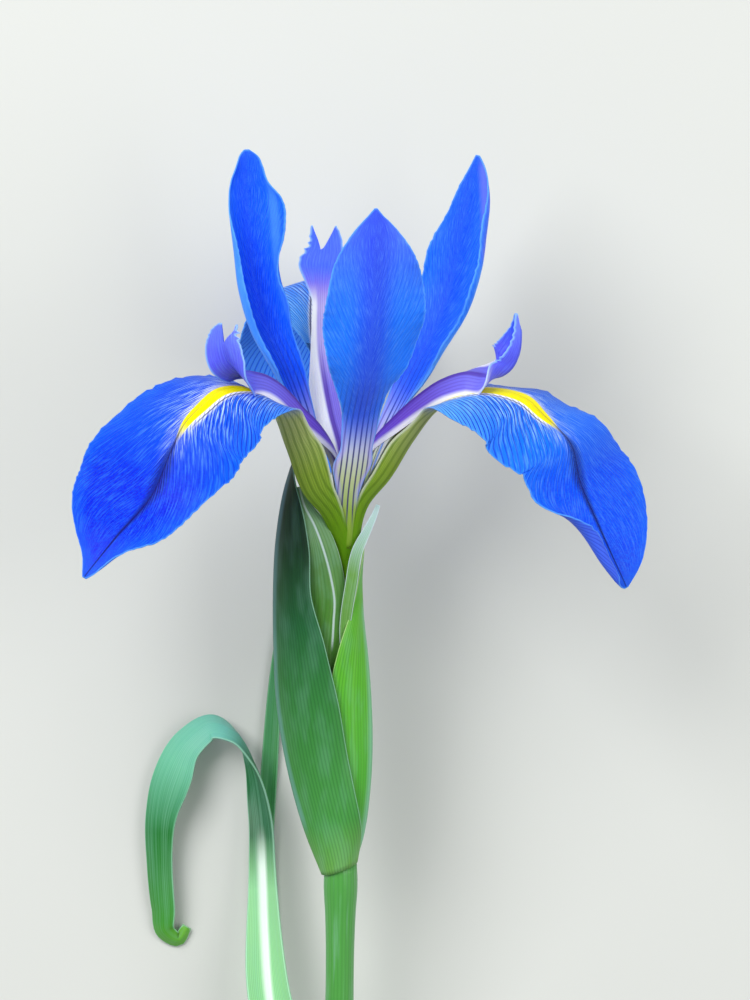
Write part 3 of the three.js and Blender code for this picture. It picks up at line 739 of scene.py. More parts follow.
@dataclass(frozen=True)
class VeinStyle:
    """How the veins of a petal or leaf are drawn, with the rows of cells between them.

    Wander is how far a vein strays from its line, run is how often it does so in a millimetre, and
    a line starts where its wave passes thin. The grain is how many rows of cells lie side by side
    from one vein to the next, and how many cells to a millimetre along a row. A painted glint, a
    streak of highlight on the cells, starts and ends at the heights of light.
    """

    wander: float = 2.4
    run: float = 0.12
    thin: float = 0.66
    between: Row = (0.5, 1.0)
    between_offset: float = 2.0
    grain: Row = (2.6, 0.3)
    light: Row = (0.46, 0.64)

    def draw(self, g: Graph, m: SurfaceMaps) -> tuple[Node, Node, Node]:
        """Draw the veins, the finer ones between them, and the painted glints: streaks of highlight on the
        cells.

        Args:
            g: the tree of the material.
            m: its surface maps.

        Returns:
            The veins, the finer veins and the painted glints, each from 0 to 1.
        """
        drawn = g.add("Mapping", {"Vector": m.veins, "Scale": (1.0, self.run, 1.0)})
        wave = {"Vector": drawn, "Distortion": self.wander, "Detail": 2.0, "Detail Scale": 0.9}
        broad = g.add("TexWave", {**wave, "Scale": VEIN_PERIOD}, **BANDS)
        wave = {**wave, "Scale": 2 * VEIN_PERIOD, "Phase Offset": self.between_offset}
        half = g.add("TexWave", wave, **BANDS)
        cells = g.add("Mapping", {"Vector": m.veins, "Scale": (*self.grain, 1.0)})
        grain = g.add("TexNoise", {"Vector": cells, "Scale": 1.0, "Detail": 3.0, "Roughness": 0.6})
        lines = g.add("MapRange", span(broad, (self.thin, 1.0)), **SMOOTH)
        fine = g.add("MapRange", span(half, self.between), **SMOOTH)
        # Painted glints: streaks of highlight where the noise of the cells runs high
        painted_glints = g.add("MapRange", span(grain, self.light), **SMOOTH)
        return lines, fine, painted_glints


@dataclass(frozen=True)
class Strip:
    """A pale strip painted along a blade. The light blue ones on the standards and the white one on the
    curled leaf are painted highlights, where a fold or the wax takes the light; the violet one on the
    right standard is its own colour, and those on the valves and the bract are pale bands.

    Its middle runs from one distance beside the midrib to another, in millimetres, positive on the
    near side, between two places.
    """

    colour: str
    places: tuple[float, float]
    beside: tuple[float, float]
    width: float
    share: float
    core: float = 0.2
    fade: float = 0.06

    def draw(self, g: Graph, m: SurfaceMaps, skin: Node) -> Node:
        """Lay the strip over a colour.

        Args:
            g: the tree of the material.
            m: its surface maps.
            skin: the colour under it.

        Returns:
            The colour with the strip.
        """
        first, last = self.places
        middle = g.add("MapRange", span(m.place, (first, last, *self.beside)))
        off = g.add("Math", {0: m.near, 1: middle}, operation="SUBTRACT")
        off = g.add("Math", {0: off}, operation="ABSOLUTE")
        band = g.add("MapRange", span(off, (self.width, self.width * self.core, 0.0, self.share)), **SMOOTH)
        after = g.add("MapRange", span(m.place, (first - self.fade, first)), **SMOOTH)
        before = g.add("MapRange", span(m.place, (last + self.fade, last)), **SMOOTH)
        return g.lay(skin, self.colour, band, after, before)


@dataclass(frozen=True)
class Signal:
    """Signal of a fall: a bright yellow tongue in the groove, with a white border and a dark midrib.

    An edge is [start, end, share at the start, share at the end]: by millimetres inside the yellow's
    outline, beside the midrib or of the yellow's half width, by the strength of a vein, or by place.
    An outline is [place, share of the width], and its width is the half width in millimetres.
    """

    yellow: str = "#fff000"
    white: str = "#f4f9ff"
    dark: str = "#0c0850"
    outline: Sequence[Row] = ((0.3, 0.15), (0.42, 0.19), (0.57, 0.15))
    end: float = 0.71
    width: float = 8.4
    middle: float = 0.2
    tongue: Row = (-0.1, 0.15)
    tongue_wide: Row = (0.2, 0.9)
    border: Row = (-1.3, -0.5)
    border_side: Row = (-0.9, 0.0, 0.2, 1.0)
    border_vein: Row = (0.0, 1.0, 1.0, 0.35)
    border_wide: Row = (0.5, 1.3)
    thread_off: float = 0.62
    thread: Row = (0.24, 0.06, 0.0, 0.8)
    thread_side: Row = (0.2, 0.6)
    groove_outline: Sequence[Row] = (
        (0.36, 0.0), (0.42, 0.05), (0.65, 0.05), (0.73, 0.36), (0.8, 0.18), (0.9, 0.05),
    )
    groove_width: float = 4.0
    groove: Row = (1.8, 0.2)
    groove_vein: Row = (0.0, 1.0, 0.5, 1.0)
    line: Row = (0.22, 0.05)
    line_share: float = 0.6
    line_run: Row = (0.5, 0.66)

    def draw(self, g: Graph, m: SurfaceMaps, colour: Node, lines: Node) -> Node:
        """Lay the signal over the blade.

        Args:
            g: the tree of the material.
            m: its surface maps.
            colour: the blade's colour.
            lines: the veins, which fray the border and the dark midrib.

        Returns:
            The colour with the signal.
        """
        # The yellow starts under the crest and ends in a point
        width = g.add("FloatCurve", {"Value": m.place}, points=(*self.outline, (self.end, 0.0)))
        reach = g.add("Math", {0: width, 1: self.width}, operation="MULTIPLY")
        off = g.add("Math", {0: m.near, 1: self.middle}, operation="SUBTRACT")
        off = g.add("Math", {0: off}, operation="ABSOLUTE")
        inside = g.add("Math", {0: reach, 1: off}, operation="SUBTRACT")
        border = g.add("MapRange", span(inside, self.border), **SMOOTH)
        beside = g.add("MapRange", span(m.near, self.border_side), **SMOOTH)
        clear = g.add("MapRange", span(lines, self.border_vein))
        ahead = g.add("MapRange", span(reach, self.border_wide), **SMOOTH)
        colour = g.lay(colour, self.white, border, beside, clear, ahead)

        # A dark thread follows the yellow on its near side
        off = g.add("Math", {0: inside, 1: self.thread_off}, operation="ADD")
        off = g.add("Math", {0: off}, operation="ABSOLUTE")
        thread = g.add("MapRange", span(off, self.thread), **SMOOTH)
        below = g.add("MapRange", span(m.near, self.thread_side), **SMOOTH)
        colour = g.lay(colour, self.dark, thread, below, ahead)

        # The midrib is a dark groove, broad and soft past the end of the yellow
        past = g.add("FloatCurve", {"Value": m.place}, points=self.groove_outline)
        spread = g.add("Math", {0: past, 1: self.groove_width}, operation="MULTIPLY")
        off = g.add("Math", {0: m.from_midrib, 1: spread}, operation="DIVIDE")
        groove = g.add("MapRange", span(off, self.groove), **SMOOTH)
        frayed = g.add("MapRange", span(lines, self.groove_vein))
        colour = g.lay(colour, self.dark, groove, frayed)
        tongue = g.add("MapRange", span(inside, self.tongue), **SMOOTH)
        wide = g.add("MapRange", span(reach, self.tongue_wide), **SMOOTH)
        colour = g.lay(colour, self.yellow, tongue, wide)
        line = g.add("MapRange", span(m.from_midrib, self.line), **SMOOTH)
        long = g.add("MapRange", span(m.place, self.line_run), **SMOOTH)
        return g.lay(colour, self.dark, line, self.line_share, long)


@dataclass(frozen=True)
class Haft:
    """Haft of a fall: yellow-green, with dark stripes along it and whitish margins.

    Edges are as in the signal, by place, by the strength of a stripe or by millimetres.
    """

    stops: Stops = ((0.0, "#5c9010"), (0.06, "#6c9a18"), (0.2, "#8ca83c"), (0.34, "#b4c07c"))
    stripe: str = "#3c6410"
    cream: str = "#dfe8c8"
    end: float = 0.36
    opens: Row = (-0.03, 0.05)
    to_mm: float = 0.8
    stray: float = 1.5
    broad: Row = (0.45, 1.0, 0.0, 0.8)
    vein_share: float = 0.5
    stripe_run: Row = (0.0, 0.1, 0.0, 0.6)
    margin: Row = (0.6, 0.1, 0.0, 0.75)
    margin_run: Row = (0.04, 0.12)

    def draw(self, g: Graph, m: SurfaceMaps, lines: Node) -> Node:
        """Colour the haft.

        Args:
            g: the tree of the material.
            m: its surface maps.
            lines: the veins.

        Returns:
            The colour.
        """
        broad = g.add("MapRange", span(stripes(g, m, self.to_mm, self.stray), self.broad), **SMOOTH)
        stripe = g.add("Math", {0: lines, 1: self.vein_share}, operation="MULTIPLY")
        stripe = g.add("Math", {0: stripe, 1: broad}, operation="MAXIMUM")
        drawn = g.add("MapRange", span(m.place, self.stripe_run), **SMOOTH)
        colour = g.lay(g.add("ValToRGB", {0: m.place}, stops=self.stops), self.stripe, stripe, drawn)
        edge = g.add("MapRange", span(m.to_margin, self.margin), **SMOOTH)
        risen = g.add("MapRange", span(m.place, self.margin_run), **SMOOTH)
        return g.lay(colour, self.cream, edge, risen)


@dataclass(frozen=True)
class FallPetal:
    """Living petal of an iris fall.

    Rows of domed cells run between sunken veins, and their satin lines of light are painted into
    the blue as glints.
    Edges are as in the signal, by place, by millimetres, or by the strength of what they thin, and
    the clouds of lighter blue are counted along the petal.
    """

    name: str = "fall_petal_satin"
    opening: Stops = ((0.36, "#2888f8"), (0.48, "#0854e8"))
    places: Row = (0.64, 0.76, 0.88, 0.97)
    bright: str = "#0050f0"
    deep: str = "#0020d4"
    violet: str = "#2c30dc"
    rim: str = "#1070ff"
    # The next two blues colour the painted glints on the cells
    pale: str = "#4ca8ff"
    palest: str = "#d4ecff"
    # Colour of the painted light on the near side by the haft
    lit: str = "#64bcff"
    vein: str = "#0824a8"
    thin: str = "#5aa8ff"
    under: str = "#4468ea"
    under_line: str = "#3550d8"
    green: str = "#7c9c20"
    clouds: float = 90.0
    cloud_edge: Row = (0.35, 0.8, 0.0, 0.6)
    rim_edge: Row = (4.5, 0.0, 0.0, 0.4)
    round_signal: Row = (13.0, 1.0)
    signal_start: Row = (0.28, 0.38)
    signal_fade: Row = (0.74, 0.5)
    streak_share: Row = (0.0, 1.0, 0.2, 1.0)
    glow: float = 0.15
    glow_run: Row = (0.62, 0.38)
    glow_side: Row = (-1.0, 2.0)
    bare: Row = (3.4, 1.4)
    bare_streaks: Row = (0.0, 1.0, 0.08, 1.0)
    faintest_vein: float = 0.24
    vein_share: float = 0.9
    fine_share: float = 0.16
    keel: Row = (2.2, 0.4)
    keel_run: Row = (0.75, 0.4)
    thin_edge: Row = (0.35, 0.0, 0.0, 0.6)
    signal: Signal = Signal()
    haft: Haft = Haft()
    veins: VeinStyle = VeinStyle()
    tissue: Tissue = Tissue(roughness=0.45, relief=0.5, depth=0.2, gloss=0.14)

    def blade(self, g: Graph, m: SurfaceMaps) -> tuple[Node, Node]:
        """Colour the inner face of the blade.

        Args:
            g: the tree of the material.
            m: its surface maps.

        Returns:
            The colour, and the height of the veins for the relief.
        """
        lines, fine, painted_glints = self.veins.draw(g, m)
        stops = zip(self.places, (self.bright, self.deep, self.deep, self.violet))
        run = g.add("ValToRGB", {0: m.place}, stops=(*self.opening, *stops))
        clouds = g.add("TexNoise", {"Scale": self.clouds, "Detail": 2.0})
        patch = g.add("MapRange", span(clouds, self.cloud_edge), **SMOOTH)
        ground = g.lay(run, self.bright, patch)
        rim = g.add("MapRange", span(m.to_margin, self.rim_edge), **SMOOTH)
        ground = g.lay(ground, self.rim, rim)

        # Painted glints, streaks of highlight on the cells, are thickest round the signal, and veins are
        # darkest on its white ground
        close = g.add("MapRange", span(m.from_midrib, self.round_signal), **SMOOTH)
        start = g.add("MapRange", span(m.place, self.signal_start), **SMOOTH)
        fade = g.add("MapRange", span(m.place, self.signal_fade), **SMOOTH)
        window = g.add("Math", {0: start, 1: fade}, operation="MULTIPLY")
        around = g.add("Math", {0: close, 1: window}, operation="MULTIPLY")
        glint = g.add("MapRange", span(around, self.streak_share))
        light = g.lay(self.pale, self.palest, around)
        ground = g.lay(ground, light, glint, painted_glints)
        # Painted light: a lighter blue on the near side of the blade by the haft, where it takes the light
        glow = g.add("MapRange", span(m.place, (*self.glow_run, 0.0, self.glow)), **SMOOTH)
        near = g.add("MapRange", span(m.near, self.glow_side), **SMOOTH)
        ground = g.lay(ground, self.lit, glow, near)
        # The petal's own white ground beside the midrib, laid mostly where the painted glints fall
        bare = g.add("MapRange", span(m.from_midrib, self.bare), **SMOOTH)
        grain = g.add("MapRange", span(painted_glints, self.bare_streaks))
        ground = g.lay(ground, self.signal.white, bare, window, grain)
        strong = g.add("MapRange", span(window, (0.0, 1.0, self.faintest_vein, self.vein_share)))
        colour = g.lay(ground, self.vein, lines, strong)
        colour = g.lay(colour, self.deep, fine, self.fine_share)
        return self.signal.draw(g, m, colour, lines), lines

    def material(self) -> Material:
        """Build the material."""
        g = Graph(self.name)
        m = read_maps(g)
        colour, lines = self.blade(g, m)
        under = g.lay(self.under, self.under_line, lines)
        keel = g.add("MapRange", span(m.from_midrib, self.keel), **SMOOTH)
        keel_run = g.add("MapRange", span(m.place, self.keel_run), **SMOOTH)
        under = g.lay(under, self.green, keel, keel_run)
        colour = g.lay(colour, under, m.outer)
        opens = [self.haft.end + past for past in self.haft.opens]
        opens = g.add("MapRange", span(m.place, opens), **SMOOTH)
        colour = g.lay(self.haft.draw(g, m, lines), colour, opens)
        thin = g.add("MapRange", span(m.to_margin, self.thin_edge), **SMOOTH)
        colour = g.lay(colour, self.thin, thin, opens)
        return self.tissue.close(g, colour, lines)


@dataclass(frozen=True)
class StandardPetal:
    """Living petal of an iris standard: finer-veined and softer than a fall, paler on its outer face.

    Edges are as in a fall.
    """

    name: str = "standard_petal_satin"
    deep: str = "#0034ee"
    bright: str = "#0a66ff"
    vein: str = "#0a24c0"
    light: str = "#58a0ff"
    outer: str = "#1e78fc"
    outer_tip: str = "#5a5cee"
    outer_core: str = "#2a3ee0"
    outer_vein: str = "#0c48e0"
    outer_glint: str = "#6aa8ff"
    thin: str = "#62aeff"
    stripe: str = "#1c2488"
    claw: Stops = (
        (0.0, "#6f9a20"), (0.1, "#98b44c"), (0.2, "#ccd8a4"), (0.3, "#d4d8e8"), (0.42, "#7c98f0"),
    )
    claw_line: str = "#3c3450"
    claw_margin: str = "#c0b8f8"
    clouds: float = 120.0
    core: Row = (5.0, 0.5)
    core_share: float = 0.75
    vein_share: float = 0.35
    glint_share: float = 0.3
    tip: Row = (0.7, 1.0, 0.0, 0.6)
    outer_vein_share: float = 0.28
    outer_glint_share: float = 0.26
    to_mm: float = 1.05
    stray: float = 1.2
    stripe_edge: Row = (0.62, 1.0)
    stripe_run: Row = (0.04, 0.12, 0.0, 0.85)
    stripe_fade: Row = (0.6, 0.4)
    stripe_share: float = 0.5
    claw_edge: Row = (1.3, 0.4)
    claw_run: Row = (0.1, 0.18, 0.0, 0.9)
    opens: Row = (0.24, 0.44)
    thin_edge: Row = (0.45, 0.0, 0.0, 0.7)
    strips: Sequence[Strip] = ()
    veins: VeinStyle = VeinStyle(wander=5.0, run=0.14, thin=0.5, grain=(4.0, 0.4))
    tissue: Tissue = Tissue(roughness=0.5, relief=0.22, depth=0.15, gloss=0.22, inside=0.12)

    def material(self) -> Material:
        """Build the material."""
        g = Graph(self.name)
        m = read_maps(g)
        lines, _, painted_glints = self.veins.draw(g, m)
        core = g.add("MapRange", span(m.from_midrib, self.core), **SMOOTH)
        clouds = g.add("TexNoise", {"Scale": self.clouds, "Detail": 2.0})
        inner = g.lay(self.bright, g.lay(self.deep, self.bright, clouds), core)
        inner = g.lay(inner, self.vein, lines, self.vein_share)
        # Painted glints: streaks of highlight on the cells of the inner face
        inner = g.lay(inner, self.light, painted_glints, self.glint_share)
        tip = g.add("MapRange", span(m.place, self.tip), **SMOOTH)
        outer = g.lay(self.outer, self.outer_tip, tip)
        outer = g.lay(outer, self.outer_core, core, self.core_share)
        outer = g.lay(outer, self.outer_vein, lines, self.outer_vein_share)
        # Painted glints on the outer face
        outer = g.lay(outer, self.outer_glint, painted_glints, self.outer_glint_share)
        colour = g.lay(inner, outer, m.outer)
        for strip in self.strips:
            colour = strip.draw(g, m, colour)

        # A few straight dark stripes run up the claw into the blade
        stripe = g.add("MapRange", span(stripes(g, m, self.to_mm, self.stray), self.stripe_edge), **SMOOTH)
        drawn = g.add("MapRange", span(m.place, self.stripe_run), **SMOOTH)
        stripe = g.add("Math", {0: stripe, 1: drawn}, operation="MULTIPLY")
        claw = g.lay(g.add("ValToRGB", {0: m.place}, stops=self.claw), self.claw_line, stripe)
        edge = g.add("MapRange", span(m.to_margin, self.claw_edge), **SMOOTH)
        risen = g.add("MapRange", span(m.place, self.claw_run), **SMOOTH)
        claw = g.lay(claw, self.claw_margin, edge, risen)
        opens = g.add("MapRange", span(m.place, self.opens), **SMOOTH)
        colour = g.lay(claw, colour, opens)
        faded = g.add("MapRange", span(m.place, self.stripe_fade), **SMOOTH)
        colour = g.lay(colour, self.stripe, stripe, faded, self.stripe_share)
        thin = g.add("MapRange", span(m.to_margin, self.thin_edge), **SMOOTH)
        colour = g.lay(colour, self.thin, thin, risen)
        return self.tissue.close(g, colour, lines)


@dataclass(frozen=True)
class StyleArmSkin:
    """Living tissue of a style arm: smooth and waxy, with a darker keel and whitish margins.

    Edges are as in a fall.
    """

    name: str = "style_arm_wax"
    purple: str = "#7c58dc"
    bluish: str = "#7a78ee"
    pale: str = "#d4c8f8"
    keel: str = "#4a1c98"
    white: str = "#f4f2ff"
    neck: str = "#5a5cec"
    crest: str = "#2a52ec"
    crest_outer: str = "#6678f4"
    crest_vein: str = "#2438d0"
    crest_glint: str = "#6f98ff"
    crest_rim: str = "#8fc0ff"
    cool: Row = (0.4, 0.75)
    painted_pale_run: Row = (0.4, 0.6)
    painted_pale_share: float = 0.0
    keel_edge: Row = (0.8, 0.1, 0.0, 0.7)
    vein_share: float = 0.25
    margin: Row = (1.4, 0.5)
    painted_lit_half: Row = (-0.2, -0.8)
    painted_lit_share: float = 0.0
    neck_end: float = 0.86
    crest_start: float = 0.7
    passage: float = 0.12
    crest_vein_share: float = 0.22
    glint_share: float = 0.3
    rim_edge: Row = (0.5, 0.05, 0.0, 0.8)
    veins: VeinStyle = VeinStyle(wander=2.0, run=0.1, thin=0.4)
    tissue: Tissue = Tissue(
        roughness=0.42, relief=0.3, depth=0.15, gloss=0.25, inside=0.15, tint=(0.6, 0.5, 1.0)
    )

    def material(self) -> Material:
        """Build the material."""
        g = Graph(self.name)
        m = read_maps(g)
        lines, _, painted_glints = self.veins.draw(g, m)
        cool = g.add("MapRange", span(m.place, self.cool), **SMOOTH)
        # Painted light: pale lavender past the middle of the arm, used on the back arm where light passes
        # through it
        pale = g.add("MapRange", span(m.place, (*self.painted_pale_run, 0.0, self.painted_pale_share)), **SMOOTH)
        body = g.lay(g.lay(self.purple, self.bluish, cool), self.pale, pale)
        keel = g.add("MapRange", span(m.from_midrib, self.keel_edge), **SMOOTH)
        unlit = g.add("Math", {0: 1.0, 1: pale}, operation="SUBTRACT")
        colour = g.lay(body, self.keel, keel, unlit)
        colour = g.lay(colour, self.keel, lines, self.vein_share)
        edge = g.add("MapRange", span(m.to_margin, self.margin), **SMOOTH)
        colour = g.lay(colour, self.white, edge)
        # Painted light: the far half of the back arm painted white, where it takes the light
        far = g.add("MapRange", span(m.near, (*self.painted_lit_half, 0.0, self.painted_lit_share)), **SMOOTH)
        colour = g.lay(colour, self.white, far)

        top = g.add("MapRange", span(m.place, (self.neck_end, self.neck_end + self.passage)), **SMOOTH)
        # The inner face of the crest is a deeper blue than its outer one: partly its own colour, partly
        # painted shade where its lobes fold over it
        lobe = g.lay(self.neck, g.lay(self.crest, self.crest_outer, m.outer), top)
        lobe = g.lay(lobe, self.crest_vein, lines, self.crest_vein_share)
        # Painted glints on the crest
        lobe = g.lay(lobe, self.crest_glint, painted_glints, self.glint_share)
        rim = g.add("MapRange", span(m.to_margin, self.rim_edge), **SMOOTH)
        lobe = g.lay(lobe, self.crest_rim, rim)
        start = (self.crest_start, self.crest_start + self.passage)
        crest = g.add("MapRange", span(m.place, start), **SMOOTH)
        return self.tissue.close(g, g.lay(colour, lobe, crest), lines)


@dataclass(frozen=True)
class Pollen:
    """Dry anther with pollen: a cream skin of fine grains along a pale filament, quite matt.

    The grains are counted along the stamen, and are so fine that they blend into one dull tone.
    """

    name: str = "anther_pollen"
    filament: str = "#c9b8e0"
    cream: str = "#e6d5a4"
    brown: str = "#b59c62"
    grains: float = 5000.0
    grain_edge: Row = (0.0, 0.9)
    anther: Row = (0.52, 0.6)
    relief: float = 0.6
    depth: float = 0.1
    roughness: float = 0.85

    def material(self) -> Material:
        """Build the material."""
        g = Graph(self.name)
        m = read_maps(g)
        grain = g.add("TexVoronoi", {"Scale": self.grains})
        pollen = g.lay(self.cream, self.brown, g.add("MapRange", span(grain, self.grain_edge)))
        start = g.add("MapRange", span(m.place, self.anther), **SMOOTH)
        bump = g.add("Bump", {"Height": grain, "Strength": self.relief, "Distance": self.depth * MM})
        colour = g.lay(self.filament, pollen, start)
        return g.finish({"Base Color": colour, "Roughness": self.roughness, "Normal": bump})


@dataclass(frozen=True)
class LeafSkin:
    """Living leaf or bract: fine parallel veins under a bluish wax bloom that softens the gloss.

    The stops are the places along the blade and its colours there, the veins are about half a
    millimetre apart, and the patches of bloom are counted along the blade.
    """

    name: str
    stops: Stops
    dark: str
    light: str
    edge: str
    edge_width: float = 0.22
    edge_core: float = 0.3
    edge_share: float = 0.7
    bloom: str = "#8fc4b4"
    bloom_patches: float = 6.0
    bloom_edge: Row = (0.42, 0.7, 0.0, 0.12)
    lines_share: float = 0.35
    glint_share: float = 0.4
    strips: Sequence[Strip] = ()
    veins: VeinStyle = VeinStyle(wander=0.8, run=0.004, thin=0.3, grain=(1.1, 0.004), light=(0.42, 0.8))
    tissue: Tissue = Tissue(
        roughness=0.42, relief=0.08, depth=0.1, gloss=0.35, ior=1.45, inside=0.08,
        tint=(0.4, 1.0, 0.3), reach=0.8,
    )

    def material(self) -> Material:
        """Build the material."""
        g = Graph(self.name)
        m = read_maps(g)
        lines, _, painted_glints = self.veins.draw(g, m)
        wax = g.add("TexNoise", {"Scale": self.bloom_patches, "Detail": 2.0})
        patch = g.add("MapRange", span(wax, self.bloom_edge), **SMOOTH)
        skin = g.lay(g.add("ValToRGB", {0: m.place}, stops=self.stops), self.bloom, patch)
        skin = g.lay(skin, self.dark, lines, self.lines_share)
        # Painted glints: fine streaks of highlight on the wax
        skin = g.lay(skin, self.light, painted_glints, self.glint_share)
        for strip in self.strips:
            skin = strip.draw(g, m, skin)
        edge = (self.edge_width, self.edge_width * self.edge_core, 0.0, self.edge_share)
        rim = g.add("MapRange", span(m.to_margin, edge), **SMOOTH)
        return self.tissue.close(g, g.lay(skin, self.edge, rim), lines)


@dataclass(frozen=True)
class StemSkin:
    """Living stem: smooth, faintly ribbed, with a bluish wax bloom that shows at its edges."""

    name: str
    colour: str
    line: str
    bloom: str
    ribs: float = 0.4
    rib_run: float = 0.02
    rib_stray: float = 1.5
    wax: Row = (0.5, 0.06)
    wax_edge: Row = (0.5, 0.75, 0.0, 0.3)
    sheen: float = 0.35
    sheen_roughness: float = 0.45
    sheen_tint: str = "#d8f0f0"
    tissue: Tissue = Tissue(
        roughness=0.4, relief=0.3, depth=0.1, ior=1.45, tint=(0.4, 1.0, 0.3), reach=1.0, sunken=False
    )

    def material(self) -> Material:
        """Build the material."""
        g = Graph(self.name)
        veins = g.add("UVMap", uv_map="Veins")
        drawn = g.add("Mapping", {"Vector": veins, "Scale": (1.0, self.rib_run, 1.0)})
        wave = {"Vector": drawn, "Scale": VEIN_PERIOD / 2, "Distortion": self.rib_stray, "Detail": 2.0}
        rib = g.add("TexWave", wave, **BANDS)
        colour = g.lay(self.colour, self.line, rib, self.ribs)
        streak = g.add("Mapping", {"Vector": veins, "Scale": (*self.wax, 1.0)})
        wax = g.add("TexNoise", {"Vector": streak, "Scale": 1.0, "Detail": 4.0})
        colour = g.lay(colour, self.bloom, g.add("MapRange", span(wax, self.wax_edge), **SMOOTH))
        return self.tissue.close(g, colour, rib, {
            "Sheen Weight": self.sheen, "Sheen Roughness": self.sheen_roughness,
            "Sheen Tint": self.sheen_tint,
        })


# Sub-assemblies


def haft(left: Sequence[float], right: Sequence[float]) -> list[Row]:
    """Give the rows of a fall's haft: its root wraps the tube, and then it is a deep channel.

    Args:
        left: the widths of the channel on the left side, in millimetres.
        right: the widths on the right side.

    Returns:
        The rows, up to where the blade opens.
    """
    root = [
        [-0.09, 2.3, 2.3, 0, 0, 0, 60, 60, 0, 0],
        [0, 2.6, 2.6, 0, 5, 5, 62, 62, 0, 0],
    ]
    channel = ((0.07, 18, 60), (0.14, 25, 60), (0.24, 25, 55), (0.34, 12, 30))
    return root + [
        [place, l, r, 0, crease, crease, bend, bend, 0, 0]
        for (place, crease, bend), l, r in zip(channel, left, right)
    ]


